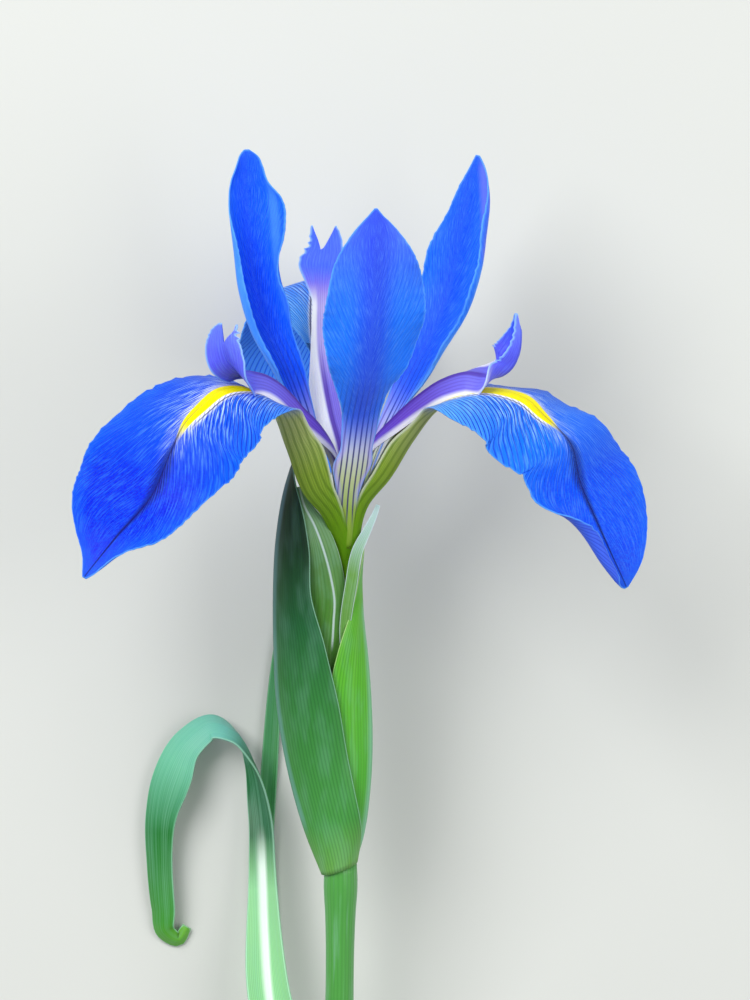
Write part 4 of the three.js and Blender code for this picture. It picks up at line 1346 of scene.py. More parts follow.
@dataclass
class Falls:
    """The three drooping falls, each a green haft that opens into a broad blue blade."""

    left: Blade = field(default_factory=lambda: Blade(
        midrib=in_bloom(LEFT, [
            [1.9, -8], [2.1, -4], [2.3, 0], [5, 6], [9.5, 11.5], [13, 20], [16.5, 28.5], [20.5, 32],
            [24, 33], [28, 33], [32, 31], [35.5, 28.5], [38.5, 24], [42.5, 17], [50.5, 10.5], [57.5, 4.5],
        ]),
        side=sideways(LEFT),
        rows=[
            *haft((4.4, 5.4, 5.8, 4.8), (3.8, 5.5, 6.4, 5.4)),
            [0.42, 7, 9, -3, 0, 0, 0, -25, 0, 0],
            [0.50, 11, 11.5, -8, 0, 0, -10, -38, 0, 0],
            [0.58, 13.5, 12.8, -16, -5, 0, -15, -38, 0, 0],
            [0.68, 17, 12, -22, -5, 0, -15, -28, 0, 0],
            [0.77, 17.8, 8.5, -24, -5, 0, -12, -20, 0, 0],
            [0.86, 14, 6.2, -22, -5, 0, -5, -5, 0, 0],
            [0.92, 8.2, 3.6, -20, -5, 0, 0, 0, 0, 60],
            [0.96, 3.5, 2.4, -20, -5, 0, 0, 0, 0, 120],
            [1, 0.4, 0.4, -20, 0, 0, 0, 0, 0, 0],
        ],
        veins=Veins(lengthwise=62, across=(24, 15), power=0.8, start=0.33),
        root=ROOT,
        margin=Margin(waves=((0.5, 7, 0.2), (0.5, 6, 0.6)), crimp=0.16, crimps=31, notch=0.09),
    ))
    right: Blade = field(default_factory=lambda: Blade(
        midrib=in_bloom(RIGHT, [
            [1.9, -8], [2.1, -4], [2.3, 0], [4, 7.5], [8.5, 13.5], [13, 21], [17.5, 27], [20.5, 29.5],
            [24, 31], [30.5, 31.5], [34.5, 30.5], [37.5, 28], [40, 26], [42.5, 23.5], [44.5, 16.5],
            [48, 9], [53.5, -2],
        ]),
        side=sideways(RIGHT),
        rows=[
            *haft((2.2, 3.2, 3.8, 3.2), (3.2, 4.6, 5.5, 4.6)),
            [0.42, 9, 8, 0, 0, 0, -25, 0, 0, 0],
            [0.50, 13, 11, 0, 0, -5, -38, -15, 0, 0],
            [0.58, 14.3, 12.2, 8, 0, -5, -38, -20, 0, 0],
            [0.68, 12.6, 13.3, 16, 0, -5, -28, -15, 0, 0],
            [0.77, 11, 16, 24, 0, -5, -15, -12, 30, 0],
            [0.83, 9.4, 15, 26, 0, -5, -5, -8, 130, 0],
            [0.88, 8, 13, 28, 0, -5, 0, -5, 210, 0],
            [0.93, 6, 9.3, 30, 0, -5, 0, 0, 220, 0],
            [0.975, 3.2, 5, 30, 0, -5, 0, 0, 180, 0],
            [1, 0.4, 0.4, 30, 0, 0, 0, 0, 0, 0],
        ],
        veins=Veins(lengthwise=62, across=(15, 24), power=0.8, start=0.33),
        root=ROOT,
        far=1,
        curl_power=2.5,
        margin=Margin(waves=((0.15, 6, 0.1), (0.3, 7, 0.5)), crimp=0.12, crimps=30, notch=0.09),
    ))
    back: Blade = field(default_factory=lambda: Blade(
        midrib=in_bloom(REAR, [
            [1.9, -8], [2.1, -4], [2.3, 0], [4.6, 6], [8, 15, 0.5], [12.5, 25, 1.7], [18.5, 35, 1.6],
            [25.5, 40.5, 0.4], [32, 42, -1], [38, 38.5, -1.5], [42, 30.5, -2], [44, 20, -2], [43.5, 9, -2],
            [41.5, 1.5, -2],
        ]),
        side=sideways(REAR),
        rows=[
            *haft((2, 3, 3.5, 2.9), (2, 3, 3.5, 2.9)),
            [0.42, 8, 8, 0, 0, 0, 0, 0, 0, 0],
            [0.50, 11.5, 13, 0, -8, -8, -15, -20, 0, 0],
            [0.60, 12, 16, 0, -8, -8, -20, -25, 0, 0],
            [0.75, 12.5, 17, 0, -5, -5, -15, -15, 0, 0],
            [0.84, 11, 13, 0, -3, -3, 0, 0, 0, 0],
            [0.92, 7, 6.5, 0, -3, -3, 0, 0, 0, 0],
            [0.97, 3.5, 3.5, 0, -3, -3, 0, 0, 0, 0],
            [1, 0.5, 0.5, 0, 0, 0, 0, 0, 0, 0],
        ],
        veins=Veins(lengthwise=62, across=(18, 18), power=0.8, start=0.33),
        root=ROOT,
        margin=Margin(waves=((0.5, 6, 0.3), (0.5, 6, 0.8)), crimp=0.16, crimps=33, notch=0.09),
        on_floor=True,
    ))

    def dress(self) -> dict[str, Material]:
        """Make the finishes of the falls; the right one shows more yellow, the back one less green, with
        lighter blues as painted light against the shade it lies in.
        """
        right = FallPetal(
            name="fall_petal_satin_right", deep="#084af4", bright="#1474ff", pale="#7cc4ff",
            violet="#1c40ec", glow=0.65, signal=Signal(end=0.69, width=12.0),
        )
        pale_haft = ((0.0, "#5c9010"), (0.08, "#6c9a18"), (0.16, "#c4d0d8"), (0.24, "#dce8ff"))
        # Painted light: the back fall lies in shade behind the others, so its blues, glints and underside
        # are lighter
        back = FallPetal(
            name="fall_petal_satin_back", deep="#0c58f8", bright="#1c7cff", pale="#c4e8ff",
            vein="#0830b8", under="#4c94ff", under_line="#2c6cf0", glow=0.75,
            haft=Haft(stops=pale_haft, end=0.24),
        )
        return {"left": FallPetal().material(), "right": right.material(), "back": back.material()}

    def build(self) -> None:
        """Build and dress the three falls."""
        skins = self.dress()
        for name, blade in (("left", self.left), ("right", self.right), ("back", self.back)):
            parts = [(blade.shell(), skins[name])]
            make_piece(f"petal_fall_{name}", parts, [f"fall_{name}"])


@dataclass
class Standards:
    """The three upright standards."""

    front: Blade = field(default_factory=lambda: Blade(
        midrib=in_bloom(STANDARD_FRONT, [
            [2.3, 0], [3.5, 9.5], [7.5, 18], [12, 27], [18, 35.5], [22, 45.5], [23.5, 54.5], [24, 61],
            [24, 67.5],
        ]),
        side=sideways(STANDARD_FRONT),
        rows=[
            [0, 0.4, 0.4, 0, 10, 10, 20, 20, 0, 0],
            [0.07, 1.3, 0.9, 0, 10, 10, 15, 15, 0, 0],
            [0.12, 2.1, 1.3, 0, 5, 5, 10, 10, 0, 0],
            [0.18, 3, 2.1, 0, 5, 5, 10, 10, 0, 0],
            [0.24, 3.8, 3.4, 0, 5, 5, 10, 10, 0, 0],
            [0.29, 2.9, 3.1, 0, 5, 5, 10, 10, 0, 0],
            [0.34, 3, 3.4, 0, 5, 5, 10, 10, 0, 0],
            [0.42, 3.6, 3.8, 0, 5, 5, 10, 10, 0, 0],
            [0.50, 5.4, 5, 0, 5, 5, 10, 10, 0, 0],
            [0.60, 7.7, 7.9, 0, 5, 5, 10, 10, 0, 0],
            [0.70, 8.8, 9.5, 0, 5, 5, 10, 10, 0, 0],
            [0.80, 8.2, 9, 0, 5, 5, 5, 5, 0, 0],
            [0.90, 6, 6.2, 0, 5, 5, 0, 0, 0, 0],
            [0.95, 3.6, 3.5, 0, 5, 5, 0, 0, 0, 0],
            [0.985, 1.2, 1.1, 0, 5, 5, 0, 0, 0, 0],
            [1, 0.25, 0.25, 0, 0, 0, 0, 0, 0, 0],
        ],
        veins=Veins(lengthwise=40, across=(13, 13), power=0.8, start=0.3),
        margin=Margin(waves=((0.5, 6, 0.1), (0.5, 6, 0.4)), crimp=0.12, crimps=24, notch=0.05),
        halfwise=20,
    ))
    left: Blade = field(default_factory=lambda: Blade(
        midrib=in_bloom(STANDARD_LEFT, [
            [2.3, 0], [3, 6], [4.5, 12], [6.5, 18.5], [9, 25.5], [11.5, 32], [15, 39.5], [17, 47],
            [18, 56], [18.5, 64], [18.5, 71.5],
        ]),
        side=sideways(STANDARD_LEFT),
        rows=[
            [0, 0.4, 0.4, 0, 10, 10, 20, 20, 0, 0],
            [0.15, 1.5, 1.5, 0, 15, 15, 30, 30, 0, 0],
            [0.28, 2.2, 2.8, -10, 15, 15, 30, 30, 0, 0],
            [0.42, 3.2, 6, -40, 10, 20, 30, 50, 0, 30],
            [0.54, 4.6, 7.2, -52, 10, 20, 40, 60, 0, 80],
            [0.62, 6, 7.6, -56, 10, 20, 40, 60, 60, 90],
            [0.68, 6.2, 7.5, -58, 10, 20, 40, 60, 110, 90],
            [0.74, 6, 7, -60, 10, 20, 40, 60, 50, 80],
            [0.80, 6.6, 6.5, -60, 10, 20, 30, 50, 0, 60],
            [0.88, 6.5, 4.7, -60, 5, 15, 30, 30, 20, 30],
            [0.93, 3.9, 3.7, -60, 5, 10, 30, 20, 40, 60],
            [0.965, 2.8, 2.4, -60, 5, 10, 20, 20, 0, 60],
            [0.985, 2, 1.5, -60, 5, 10, 10, 10, 0, 40],
            [1, 0.5, 0.4, -60, 0, 0, 0, 0, 0, 0],
        ],
        veins=Veins(lengthwise=40, across=(13, 13), power=0.8, start=0.3),
        margin=Margin(waves=((0.4, 5, 0.2), (0.3, 6, 0.4)), crimp=0.1, crimps=24, notch=0.05),
        halfwise=24,
    ))
    right: Blade = field(default_factory=lambda: Blade(
        midrib=in_bloom(STANDARD_RIGHT, [
            [2.3, 0], [4.5, 9.5], [8.5, 18], [13, 24.5], [17, 30], [21, 35.5], [24.5, 41.5],
            [28.5, 54.5], [32, 67],
        ]),
        side=sideways(STANDARD_RIGHT),
        rows=[
            [0, 0.4, 0.4, 0, 10, 10, 20, 20, 0, 0],
            [0.15, 1.6, 1.5, 0, 15, 15, 30, 30, 0, 0],
            [0.30, 2.8, 1.9, 5, 15, 15, 30, 30, 30, 0],
            [0.42, 5.2, 3.2, 10, 5, 5, 25, 10, 60, 0],
            [0.54, 7.6, 5.7, 10, 5, 5, 25, 10, 90, 0],
            [0.66, 10, 6.5, 10, 5, 5, 25, 10, 90, 0],
            [0.78, 10, 5.4, 10, 5, 5, 25, 10, 90, 0],
            [0.88, 8.2, 3.2, 10, 5, 5, 20, 5, 90, 0],
            [0.95, 4.3, 1.6, 10, 5, 5, 10, 0, 50, 0],
            [1, 0.4, 0.4, 10, 0, 0, 0, 0, 0, 0],
        ],
        veins=Veins(lengthwise=40, across=(13, 13), power=0.8, start=0.3),
        margin=Margin(waves=((0.4, 6, 0.2), (0.6, 6, 0.7)), crimp=0.1, crimps=24, notch=0.05),
        halfwise=24,
    ))

    def dress(self) -> dict[str, Material]:
        """Make the finishes of the standards: pale blue strips on their rolled margins are painted
        highlights, and a violet one marks the right tip's own colour.
        """
        left = StandardPetal(name="standard_petal_satin_left", strips=(
            # Painted highlights: lighter blue where the rolled margin and the fold take the light
            Strip("#4a94f8", (0.36, 0.86), (4.4, 6.8), 3.4, 0.85),
            Strip("#4a90fc", (0.5, 0.94), (-5.4, -4.6), 1.4, 0.6),
        ))
        right = StandardPetal(name="standard_petal_satin_right", strips=(
            Strip("#6272f0", (0.78, 0.97), (-8, -2.6), 2.4, 0.85),
            # Painted highlight: lighter blue along the fold, where it takes the light
            Strip("#5aa4ff", (0.4, 0.72), (-4, -8), 2.2, 0.75),
        ))
        return {"front": StandardPetal().material(), "left": left.material(), "right": right.material()}

    def build(self) -> None:
        """Build and dress the three standards."""
        skins = self.dress()
        for name, blade in (("front", self.front), ("left", self.left), ("right", self.right)):
            parts = [(blade.shell(), skins[name])]
            make_piece(f"petal_standard_{name}", parts, [f"standard_{name}"])


@dataclass
class Style:
    """The style: a short column with three keeled arms, each with a two-lobed toothed crest."""

    column_radius: float = 0.9
    column_height: float = 8.0

    def arm(
        self, azimuth: float, midrib: Sequence[Row], crest: Sequence[Row], far: int,
        slit: Sequence[Row], teeth: tuple[float, float, float, float],
    ) -> Blade:
        """Describe one arm.

        Args:
            azimuth: where it stands round the bloom's axis.
            midrib: its keel, out from the axis, up it and sideways.
            crest: the rows past its thin start, with those of the crest.
            far: the hand of its far side; the near one slopes down more steeply.
            slit: how far each lobe of the crest stands off the midrib.
            teeth: where the teeth of the crest start, how many there are, and their depth on each side.

        Returns:
            The arm.
        """
        rows = [
            [0, 0.6, 0.6, 0, -10, -10, 0, 0, 0, 0],
            [0.20, 1.5, 1.5, 0, -20, -20, -15, -15, 0, 0],
            *crest,
        ]
        return Blade(
            midrib=in_bloom(azimuth, midrib), side=sideways(azimuth), rows=rows, slit=slit,
            teeth=teeth, veins=Veins(across=(7, 7)), crowd=1.2, halfwise=16, far=far,
        )

    def left_arm(self) -> Blade:
        """Describe the left arm, whose crest shows both lobes side by side."""
        return self.arm(LEFT, [
            [0.3, 4], [1, 9], [2.5, 18], [6.5, 24], [9.5, 27], [12, 29.8], [15, 32.6], [18, 34.5],
            [21, 35.6], [23.5, 36.4], [25.6, 38.1], [26.7, 40.5], [27.1, 42.8], [27.3, 45.4],
        ], [
            [0.40, 3, 3, 0, -20, -58, -20, -20, 0, 0],
            [0.54, 3.8, 3.8, 0, -20, -58, -15, -15, 0, 0],
            [0.68, 4.4, 4.2, 0, -20, -58, 0, 0, 0, 0],
            [0.76, 4.2, 4.8, 0, -30, -54, 0, 0, 0, 0],
            [0.81, 3.9, 6.4, 0, -45, -26, 0, 0, 0, 0],
            [0.86, 3.9, 7, 0, -48, -16, 0, 0, 0, 0],
            [0.91, 3.8, 6.5, 0, -30, -10, 0, 10, 0, 0],
            [0.95, 3.3, 5, 0, -20, -8, 0, 20, 0, 0],
            [0.98, 2.1, 4.1, 0, -20, 0, 0, 30, 0, 0],
            [1, 0.6, 3.4, 0, -20, 10, 0, 30, 0, 0],
        ], -1, ((0.925, 0, 0), (0.955, 0, 0.3), (0.98, 0.04, 0.66), (1, 0.1, 0.82)), (0.9, 60, 0.08, 0.3))

    def right_arm(self) -> Blade:
        """Describe the right arm, whose crest is folded along its outer side."""
        return self.arm(RIGHT, [
            [0.3, 4], [1, 9], [4.5, 19], [9, 24.5], [14, 29.3], [18.5, 32.6], [23, 34.3],
            [26.4, 34.1], [29, 34.1], [31.3, 35.6], [32.8, 38.3], [33.3, 42.2], [32.8, 46],
        ], [
            [0.40, 3, 3, 0, -58, -20, -20, -20, 0, 0],
            [0.54, 3.8, 3.8, 0, -58, -20, -15, -15, 0, 0],
            [0.67, 4.4, 3.8, 0, -58, -5, 0, 0, 0, 0],
            [0.73, 4.3, 3.4, 0, -45, 30, 0, 0, 0, 0],
            [0.775, 4.6, 4.4, 0, 20, 60, 0, 0, 0, 0],
            [0.82, 3.8, 5.8, 0, 55, 70, 0, 0, 0, 0],
            [0.87, 2.8, 5.6, 0, 50, 70, 0, 0, 0, 0],
            [0.935, 1.8, 3.8, 0, 50, 65, 0, 0, 0, 0],
            [1, 0.6, 1, 0, 50, 60, 0, 0, 0, 0],
        ], 1, ((0.95, 0, 0), (1, 0.2, 0.5)), (0.8, 44, 0.24, 0.1))

    def back_arm(self) -> Blade:
        """Describe the back arm, seen on its inner face between the standards."""
        return self.arm(REAR + 2, [
            [0.3, 4], [1, 9], [3, 17, 0.5], [6, 22.5, 1.6], [9, 27.5, 2.2], [12.5, 33, 2.5],
            [16.5, 37.5, 2], [20.5, 40.5, 1.3], [24, 43, 0.9], [26.5, 46, 0.4], [27.5, 49, -0.3],
            [28, 52.5, -0.5],
        ], [
            [0.23, 2.2, 2.4, 0, -20, -10, -10, -10, 0, 0],
            [0.34, 3.3, 3.8, 0, -30, -10, -10, -10, 0, 0],
            [0.44, 3.4, 3, 0, -30, -10, -10, -10, 0, 0],
            [0.55, 3, 1.8, 0, -20, -10, -10, -10, 0, 0],
            [0.66, 2.6, 1.4, 0, -10, -10, 0, 0, 0, 0],
            [0.74, 2.4, 1.4, 0, -5, -5, 0, 0, 0, 0],
            [0.82, 3.2, 2.6, 0, 0, 0, 0, 0, 0, 0],
            [0.88, 4.2, 3.8, 0, 0, 0, 0, 0, 0, 0],
            [0.94, 4, 2.8, 0, 0, 0, 0, 0, 0, 0],
            [1, 2.8, 2.1, 0, 0, 0, 0, 0, 0, 0],
        ], 1, ((0.92, 0, 0), (0.96, 0.35, 0.35), (1, 0.85, 0.85)), (0.86, 40, 0.14, 0.25))

    def dress(self) -> tuple[Material, Material]:
        """Make the finishes of the front arms and of the back one, whose light is painted in: its left half
        white, its purple lighter and pale lavender past its middle, where it takes the light.
        """
        back = StyleArmSkin(
            name="style_arm_wax_back", purple="#9484f0", white="#fcffff", painted_lit_share=1.0,
            margin=(1.1, 0.2), painted_pale_share=0.85, neck="#9c84ec", neck_end=0.76, crest="#4c70f6",
        )
        return StyleArmSkin().material(), back.material()

    def build(self) -> None:
        """Build and dress the style."""
        arms = [self.left_arm(), self.right_arm(), self.back_arm()]
        column = Rod(
            route=in_bloom(0, [[0, 0.1], [0, self.column_height / 2], [0, self.column_height]]),
            radii=[[place, self.column_radius, self.column_radius] for place in (0, 1)],
            rings=12,
        )
        front, back = self.dress()
        parts = list(zip([arm.shell() for arm in arms] + [column.shell()], [front, front, back, front]))
        make_piece("style_arms", parts, ["style"])


@dataclass
class Stamens:
    """The three stamens: a thin filament that widens into a long flat anther, under each arm."""

    shape: Sequence[Row] = (
        (0, 0.35, 0.35), (0.55, 0.35, 0.35), (0.62, 0.6, 0.4), (0.8, 0.8, 0.45), (0.95, 0.6, 0.4),
        (1, 0.3, 0.3),
    )
    routes: Mapping[str, np.ndarray] = field(default_factory=lambda: {
        "left": in_bloom(LEFT, [
            [1.45, 0.1], [2.6, 8], [5.8, 14, -0.3], [9.5, 21, -0.6], [12.5, 26, -0.6], [15, 29.5, -0.4],
        ]),
        "right": in_bloom(RIGHT, [
            [1.45, 0.1], [2.6, 8], [6, 14.5, 0.4], [10.5, 22, 0.9], [13.5, 26, 0.9], [15.5, 28.5, 0.6],
        ]),
        "back": in_bloom(REAR + 1, [
            [1.45, 0.1], [2.6, 8], [5.5, 15, 0.4], [8.5, 21.5, 1.1], [11, 26.5, 1.8], [13.5, 31, 1.9],
        ]),
    })

    def dress(self) -> Material:
        """Make the finish of the stamens."""
        return Pollen().material()

    def build(self) -> None:
        """Build and dress the three stamens."""
        skin = self.dress()
        for name, route in self.routes.items():
            rod = Rod(route=route, radii=self.shape, sides=20)
            make_piece(f"anther_{name}", [(rod.shell(), skin)], [f"stamen_{name}"])


@dataclass
class Spathe:
    """The green spathe round the ovary: two keeled valves and two papery bracts inside them."""

    left: Blade = field(default_factory=lambda: Blade(
        midrib=np.array([
            [-4.4, -60, -12.6], [-7.5, -52, -11], [-10.5, -41, -9], [-12.5, -28.5, -6.5],
            [-13, -17, -4], [-13, -8, -2], [-12.5, 1, 0], [-11, 10, 1.5], [-9.5, 15, 2],
        ]),
        side=UP,
        rows=[
            [0, 8.4, 10.2, 0, 0, 0, 140, 170, 0, 0],
            [0.04, 8.8, 11.4, 0, 10, 10, 125, 140, 0, 0],
            [0.12, 9.8, 12, 0, 28, 30, 85, 80, 0, 0],
            [0.28, 11, 12.8, 0, 30, 32, 70, 73, 0, 0],
            [0.45, 11, 12.8, 0, 30, 30, 70, 70, 0, 0],
            [0.58, 9.5, 11, 0, 30, 30, 60, 60, 0, 0],
            [0.70, 7.5, 8.8, 0, 30, 32, 40, 40, 0, 0],
            [0.82, 6, 7.4, 0, 30, 35, 40, 40, 0, 0],
            [0.93, 3, 4, 0, 30, 35, 20, 20, 0, 0],
            [1, 0.4, 0.4, 0, 20, 20, 0, 0, 0, 0],
        ],
        veins=Veins(across=(18, 20)),
        halfwise=30,
    ))
    right: Blade = field(default_factory=lambda: Blade(
        midrib=np.array([
            [1.1, -59.2, -12.3], [3, -53, -11.2], [4.2, -44.5, -9.5], [4.6, -34, -7.5], [4.4, -28, -6.5],
            [3.9, -21, -5], [3, -12, -2.8], [2.8, -5.5, -1.5], [3.2, -0.5, -1],
        ]),
        side=UP,
        rows=[
            [0, 3.1, 3.1, 0, 0, 0, -90, -90, 0, 0],
            [0.12, 5, 5.6, 0, -38, -31, -65, -65, 0, 0],
            [0.28, 6, 7.6, 0, -35, -36, -60, -62, 0, 0],
            [0.45, 6, 8.6, 0, -33, -38, -60, -60, 0, 0],
            [0.55, 5.2, 8.9, 0, -22, -33, -60, -62, 0, 0],
            [0.64, 4.2, 8, 0, -15, -26, -60, -66, 0, 0],
            [0.73, 2.6, 6.6, 0, -5, -18, -40, -60, 0, 0],
            [0.83, 1.8, 3.6, 0, -5, -8, -20, -50, 0, 0],
            [0.92, 1.2, 1.7, 0, -5, -5, -10, -20, 0, 0],
            [1, 0.4, 0.4, 0, 0, 0, 0, 0, 0, 0],
        ],
        veins=Veins(across=(10, 14)),
        halfwise=26,
    ))
    bract_left: Blade = field(default_factory=lambda: Blade(
        midrib=np.array([
            [-2.8, -32, -4.6], [-3.6, -26, -3.2], [-4.1, -20, -1.9], [-3.6, -14, -0.3], [-3.2, -10, 0.7],
            [-3.6, -6, 1.6], [-4.9, 0, 3.4], [-6.1, 3.6, 3.2], [-7.7, 7.2, 3], [-8.4, 10.5, 2.8],
        ]),
        side=ACROSS,
        rows=[
            [0, 1, 1.4, 0, 0, 0, 15, 15, 0, 0],
            [0.2, 2, 2.8, 0, 0, 0, 15, 15, 0, 0],
            [0.4, 3.4, 3.2, 0, 0, 0, 15, 15, 0, 0],
            [0.55, 3.4, 3.3, 0, 0, 0, 15, 15, 0, 0],
            [0.78, 1.5, 2.8, 0, 0, 0, 10, 10, 0, 0],
            [0.9, 0.8, 1.7, 0, 0, 0, 0, 0, 0, 0],
            [1, 0.4, 0.4, 0, 0, 0, 0, 0, 0, 0],
        ],
        veins=Veins(across=(5, 5)),
        thickness=0.3,
        lengthwise=60,
        halfwise=8,
    ))
    bract_right: Blade = field(default_factory=lambda: Blade(
        midrib=np.array([
            [-0.4, -21, -1.8], [-0.6, -16, -0.3], [-0.2, -11, 1.3], [0.6, -6.5, 2.6], [2, -0.9, 3.5],
            [3.8, 2.7, 2.8], [5.1, 5.4, 2.4], [5.8, 7.2, 2.2],
        ]),
        side=ACROSS,
        rows=[
            [0, 0.4, 0.6, 0, 0, 0, 20, 20, 0, 0],
            [0.2, 0.6, 1.3, 0, 0, 0, 20, 20, 0, 0],
            [0.45, 0.6, 1.6, 0, 0, 0, 20, 20, 0, 0],
            [0.7, 0.9, 1.1, 0, 0, 0, 0, 0, 0, 0],
            [1, 0.4, 0.4, 0, 0, 0, 0, 0, 0, 0],
        ],
        veins=Veins(across=(3, 3)),
        thickness=0.3,
        lengthwise=60,
        halfwise=6,
    ))

    def build(self) -> None:
        """Build and dress the valves and bracts."""
        green = LeafSkin(
            "outer_valve_leaf",
            stops=(
                (0.0, "#6aa84c"), (0.12, "#459440"), (0.4, "#348038"), (0.62, "#1e6434"),
                (0.82, "#0a3018"), (1.0, "#082812"),
            ),
            dark="#0c3a1c", light="#3a8848", edge="#8cc0a0", lines_share=0.25, glint_share=0.15,
            strips=(Strip("#7fb0bc", (0.15, 0.95), (0.5, 0.2), 1.2, 0.35),),
        ).material()
        bright = LeafSkin(
            "inner_valve_leaf",
            stops=(
                (0.0, "#4c9c44"), (0.3, "#4aa830"), (0.6, "#58b428"), (0.85, "#60b030"), (1.0, "#78b070"),
            ),
            dark="#2c7418", light="#86cc50", edge="#b4dc88",
            strips=(Strip("#8fc8b0", (0.1, 0.8), (0.0, 0.0), 1.6, 0.5),),
        ).material()
        pale = LeafSkin(
            "bract_paper", stops=((0.0, "#4c8628"), (0.5, "#4a8430"), (1.0, "#80a880")),
            dark="#356c20", light="#7ca458", edge="#b4d0b0", edge_width=0.12,
            strips=(Strip("#dcecf0", (0.35, 1.0), (1.5, 0.0), 0.3, 0.65),),
        ).material()
        tip = LeafSkin(
            "bract_paper_pale",
            stops=((0.0, "#5a9430"), (0.55, "#6ca048"), (0.8, "#a8c8c0"), (1.0, "#c4dce4")),
            dark="#4f8838", light="#a4c8a0", edge="#d4e6ec", edge_width=0.2,
        ).material()
        make_piece("valve_left", [(self.left.shell(), green)], ["spathe_left"])
        make_piece("valve_right", [(self.right.shell(), bright)], ["spathe_right"])
        make_piece("bract_left", [(self.bract_left.shell(), pale)], ["membrane_left"])
        make_piece("bract_right", [(self.bract_right.shell(), tip)], ["membrane_right"])


@dataclass
class StemAndOvary:
    """The cut stem with its joint under the spathe, and the ovary and tube up to the bloom."""

    stem: Rod = field(default_factory=lambda: Rod(
        route=np.array([
            [-1.5, -176, -35.05], [-1.7, -145, -31.2], [-1.6, -115, -24.9], [-1.3, -85, -18],
            [-1, -58, -12.3],
        ]),
        radii=[[0, 2.95, 2.95], [0.6, 2.9, 2.9], [0.92, 2.8, 2.8], [0.97, 3.1, 3.1], [1, 2.9, 2.9]],
        sides=48,
        on_floor=True,
    ))
    ovary: Rod = field(default_factory=lambda: Rod(
        route=np.array([
            [-1, -59.7, -12.4], [-0.6, -39, -8.5], [-0.3, -19, -4.5], [-0.1, -6.5, -1.5], [0, -0.4, -0.1],
        ]),
        radii=[
            [0, 1.4, 1.4], [0.3, 1.6, 1.6], [0.5, 2.3, 2.3], [0.75, 2.4, 2.4], [0.88, 1.9, 1.9],
            [1, 1.8, 1.8],
        ],
        sides=36,
    ))

    def build(self) -> None:
        """Build and dress the stem and the ovary."""
        green = StemSkin("stem_wax", "#4c9c40", "#388430", "#90c8a8").material()
        olive = StemSkin("ovary_skin", "#7f9c2e", "#587a1c", "#a8b85c").material()
        make_piece("stem_cut", [(self.stem.shell(), green)], ["stem"])
        make_piece("ovary_tube", [(self.ovary.shell(), olive)], ["tube_ovary"])


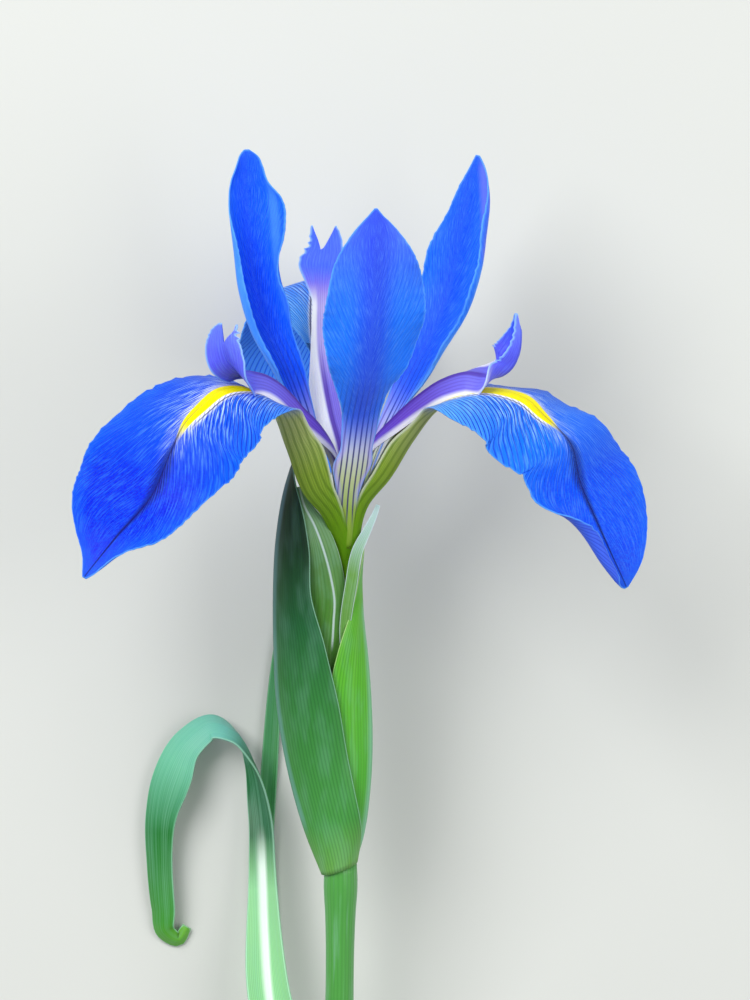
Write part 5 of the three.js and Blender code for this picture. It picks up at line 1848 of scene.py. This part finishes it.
@dataclass
class Leaves:
    """The curled leaf that clasps the stem, and the narrow one behind it."""

    curled: Blade = field(default_factory=lambda: Blade(
        midrib=np.array([
            [-5.8, -146, -31.4], [-5.8, -134, -28.9], [-6.5, -122, -27], [-9.5, -106, -25.2],
            [-12.3, -93.5, -24.5], [-13.8, -84, -25.5], [-14.6, -72, -27.5], [-15, -60, -29],
            [-15.5, -50, -30], [-17.5, -40.5, -31], [-20.5, -35.5, -31.5], [-25, -33.5, -32],
            [-29.5, -36.5, -32.5], [-33.5, -43.5, -33], [-35, -50.5, -33.5], [-35, -60, -34],
            [-34.5, -68, -34.5], [-34, -72.5, -35.5], [-31.5, -74, -36.5], [-29.8, -71.5, -36.5],
        ]),
        side=-UP,
        rows=[
            [0, 8.8, 8.8, 180, 0, 0, 125, 125, 0, 0],
            [0.10, 7.4, 8.6, 178, 0, 0, 95, 115, 0, 0],
            [0.16, 4.4, 7.4, 160, 10, 10, 35, 80, 0, 0],
            [0.22, 4, 6.2, 130, 20, 20, 25, 50, 0, 0],
            [0.32, 5.8, 5.8, 100, 25, 25, 40, 40, 0, 0],
            [0.40, 5, 5, 80, 25, 25, 30, 30, 0, 0],
            [0.50, 3.4, 3.4, 65, 20, 20, 20, 20, 0, 0],
            [0.60, 2.9, 2.9, 45, 15, 15, 15, 15, 0, 0],
            [0.66, 2.9, 2.9, 0, 10, 10, 15, 15, 0, 0],
            [0.71, 3.3, 3.2, -45, 10, 10, 10, 10, 0, 0],
            [0.75, 3.8, 3.3, -58, 5, 5, 10, 10, 0, 0],
            [0.78, 4.8, 3.3, -62, 5, 5, 10, 10, 0, 0],
            [0.80, 4.7, 3.2, -63, 5, 5, 10, 10, 0, 0],
            [0.83, 3.6, 3, -64, 5, 5, 10, 10, 0, 0],
            [0.87, 2.8, 2.8, -65, 5, 5, 10, 10, 0, 0],
            [0.95, 2.4, 2.4, -60, 10, 10, 10, 10, 0, 0],
            [1, 1, 1, -60, 10, 10, 10, 10, 0, 0],
        ],
        veins=Veins(across=(12, 12)),
        thickness=0.6,
        lengthwise=260,
        halfwise=16,
        crowd=1.0,
        on_floor=True,
    ))
    narrow: Blade = field(default_factory=lambda: Blade(
        midrib=np.array([
            [-2, -160, -37], [-3.5, -145, -37.2], [-8, -120, -37.3], [-13, -95, -37.3], [-15, -75, -37.3],
            [-15.5, -58, -37.3], [-14.5, -42, -37.3], [-13, -22, -37.3], [-10.5, -5, -37.3],
        ]),
        side=-ACROSS,
        rows=[
            [0, 2.6, 2.6, 0, 0, 0, 20, 20, 0, 0],
            [0.2, 2.4, 2.4, 0, 5, 5, 10, 10, 0, 0],
            [0.6, 1.9, 1.9, 0, 10, 10, 15, 15, 0, 0],
            [0.85, 1.3, 1.3, 0, 10, 10, 10, 10, 0, 0],
            [1, 0.4, 0.4, 0, 0, 0, 0, 0, 0, 0],
        ],
        veins=Veins(across=(7, 7)),
        thickness=0.6,
        halfwise=8,
        crowd=1.1,
        on_floor=True,
    ))

    def build(self) -> None:
        """Build and dress the two leaves."""
        skin = LeafSkin(
            "leaf_wax",
            # The ramp paints light and shade into the green: pale where a face takes the light, dark green
            # where a face lies in shade by the arch; the bluish teal past the arch is partly its own wax
            # bloom
            stops=(
                (0.0, "#7cc478"), (0.3, "#98d898"), (0.5, "#98d898"), (0.56, "#145c2c"), (0.64, "#186434"),
                (0.69, "#74c4b4"), (0.77, "#68bc98"), (0.85, "#107020"), (0.9, "#308030"), (0.95, "#3c9024"),
                (1.0, "#70b81c"),
            ),
            dark="#1c6438", light="#8cd0b0", edge="#a8dcc0", edge_share=0.5, lines_share=0.2,
            # Painted highlight: a near-white strip along the lower channel, where its inner face takes the
            # light
            strips=(Strip("#f4fff8", (0.3, 0.515), (0.5, 0.5), 1.6, 0.85),),
        ).material()
        far = LeafSkin(
            "leaf_wax_far", stops=((0.0, "#4c9c50"), (1.0, "#2f8044")),
            dark="#1c6438", light="#6cb07c", edge="#8cc8a0", edge_share=0.4, lines_share=0.2,
        ).material()
        make_piece("leaf_blade_curled", [(self.curled.shell(), skin)], ["leaf_curled"])
        make_piece("leaf_blade_narrow", [(self.narrow.shell(), far)], ["leaf_narrow"])


@dataclass
class Studio:
    """The plain pale floor, the soft lights and the camera."""

    floor_size: float = 4.0
    floor_colours: tuple[str, str] = ("#cccec9", "#d0d2cd")
    floor_grain: float = 40.0
    floor_roughness: float = 0.9
    room_colour: tuple[float, float, float, float] = (0.95, 0.97, 1.0, 1.0)
    room_light: float = 0.36
    lights: Sequence[tuple[str, Row, float, float]] = (
        ("key_light", (-0.45, 0.45, 0.8), 0.6, 9.0),
        ("fill_light", (0.55, 0.1, 0.7), 0.7, 4.0),
    )
    lit_at: Row = (0.0, 0.04, 0.04)
    camera_at: tuple[float, float, float] = (0.00222, 0.0611, 1.038)
    lens: float = 200.0
    sensor: float = 36.0
    sight: float = 10.0

    def light(self, name: str, at: Row, size: float, power: float) -> None:
        """Hang a soft square light that faces the flower.

        Args:
            name: name of the light.
            at: where it hangs, in metres.
            size: its side in metres.
            power: its power in watts.
        """
        lamp = bpy.data.lights.new(name, "AREA")
        lamp.size = size
        lamp.energy = power
        hung = bpy.data.objects.new(name, lamp)
        hung.location = at
        way = np.array(self.lit_at) - np.array(at)
        hung.rotation_euler = (
            math.atan2(math.hypot(way[0], way[1]), -way[2]), 0.0, math.atan2(way[1], way[0]) - math.pi / 2
        )
        bpy.context.scene.collection.objects.link(hung)

    def build(self) -> None:
        """Build the floor, the lights, the surroundings and the camera."""
        half = self.floor_size / 2
        mesh = bpy.data.meshes.new("floor")
        corners = [(-half, -half, 0), (half, -half, 0), (half, half, 0), (-half, half, 0)]
        mesh.from_pydata(corners, [], [(0, 1, 2, 3)])
        g = Graph("floor_paint")
        tone = g.lay(*self.floor_colours, g.add("TexNoise", {"Scale": self.floor_grain}))
        mesh.materials.append(g.finish({"Base Color": tone, "Roughness": self.floor_roughness}))
        floor = bpy.data.objects.new("floor", mesh)
        bpy.context.scene.collection.objects.link(floor)

        for light in self.lights:
            self.light(*light)

        world = bpy.data.worlds.new("room")
        world.use_nodes = True
        glow = world.node_tree.nodes["Background"].inputs
        glow["Color"].default_value = self.room_colour
        glow["Strength"].default_value = self.room_light
        bpy.context.scene.world = world

        camera = bpy.data.cameras.new("camera")
        camera.lens = self.lens
        camera.sensor_width = self.sensor
        camera.clip_end = self.sight
        held = bpy.data.objects.new("camera", camera)
        held.location = self.camera_at
        bpy.context.scene.collection.objects.link(held)
        bpy.context.scene.camera = held
        bpy.context.scene.view_settings.view_transform = "Standard"


def main() -> None:
    """Build the studio and the flower."""
    logging.basicConfig(level=logging.INFO, format="%(name)s %(message)s")
    Studio().build()
    for part in (Falls(), Standards(), Style(), Stamens(), Spathe(), StemAndOvary(), Leaves()):
        part.build()


if __name__ == "__main__":
    main()
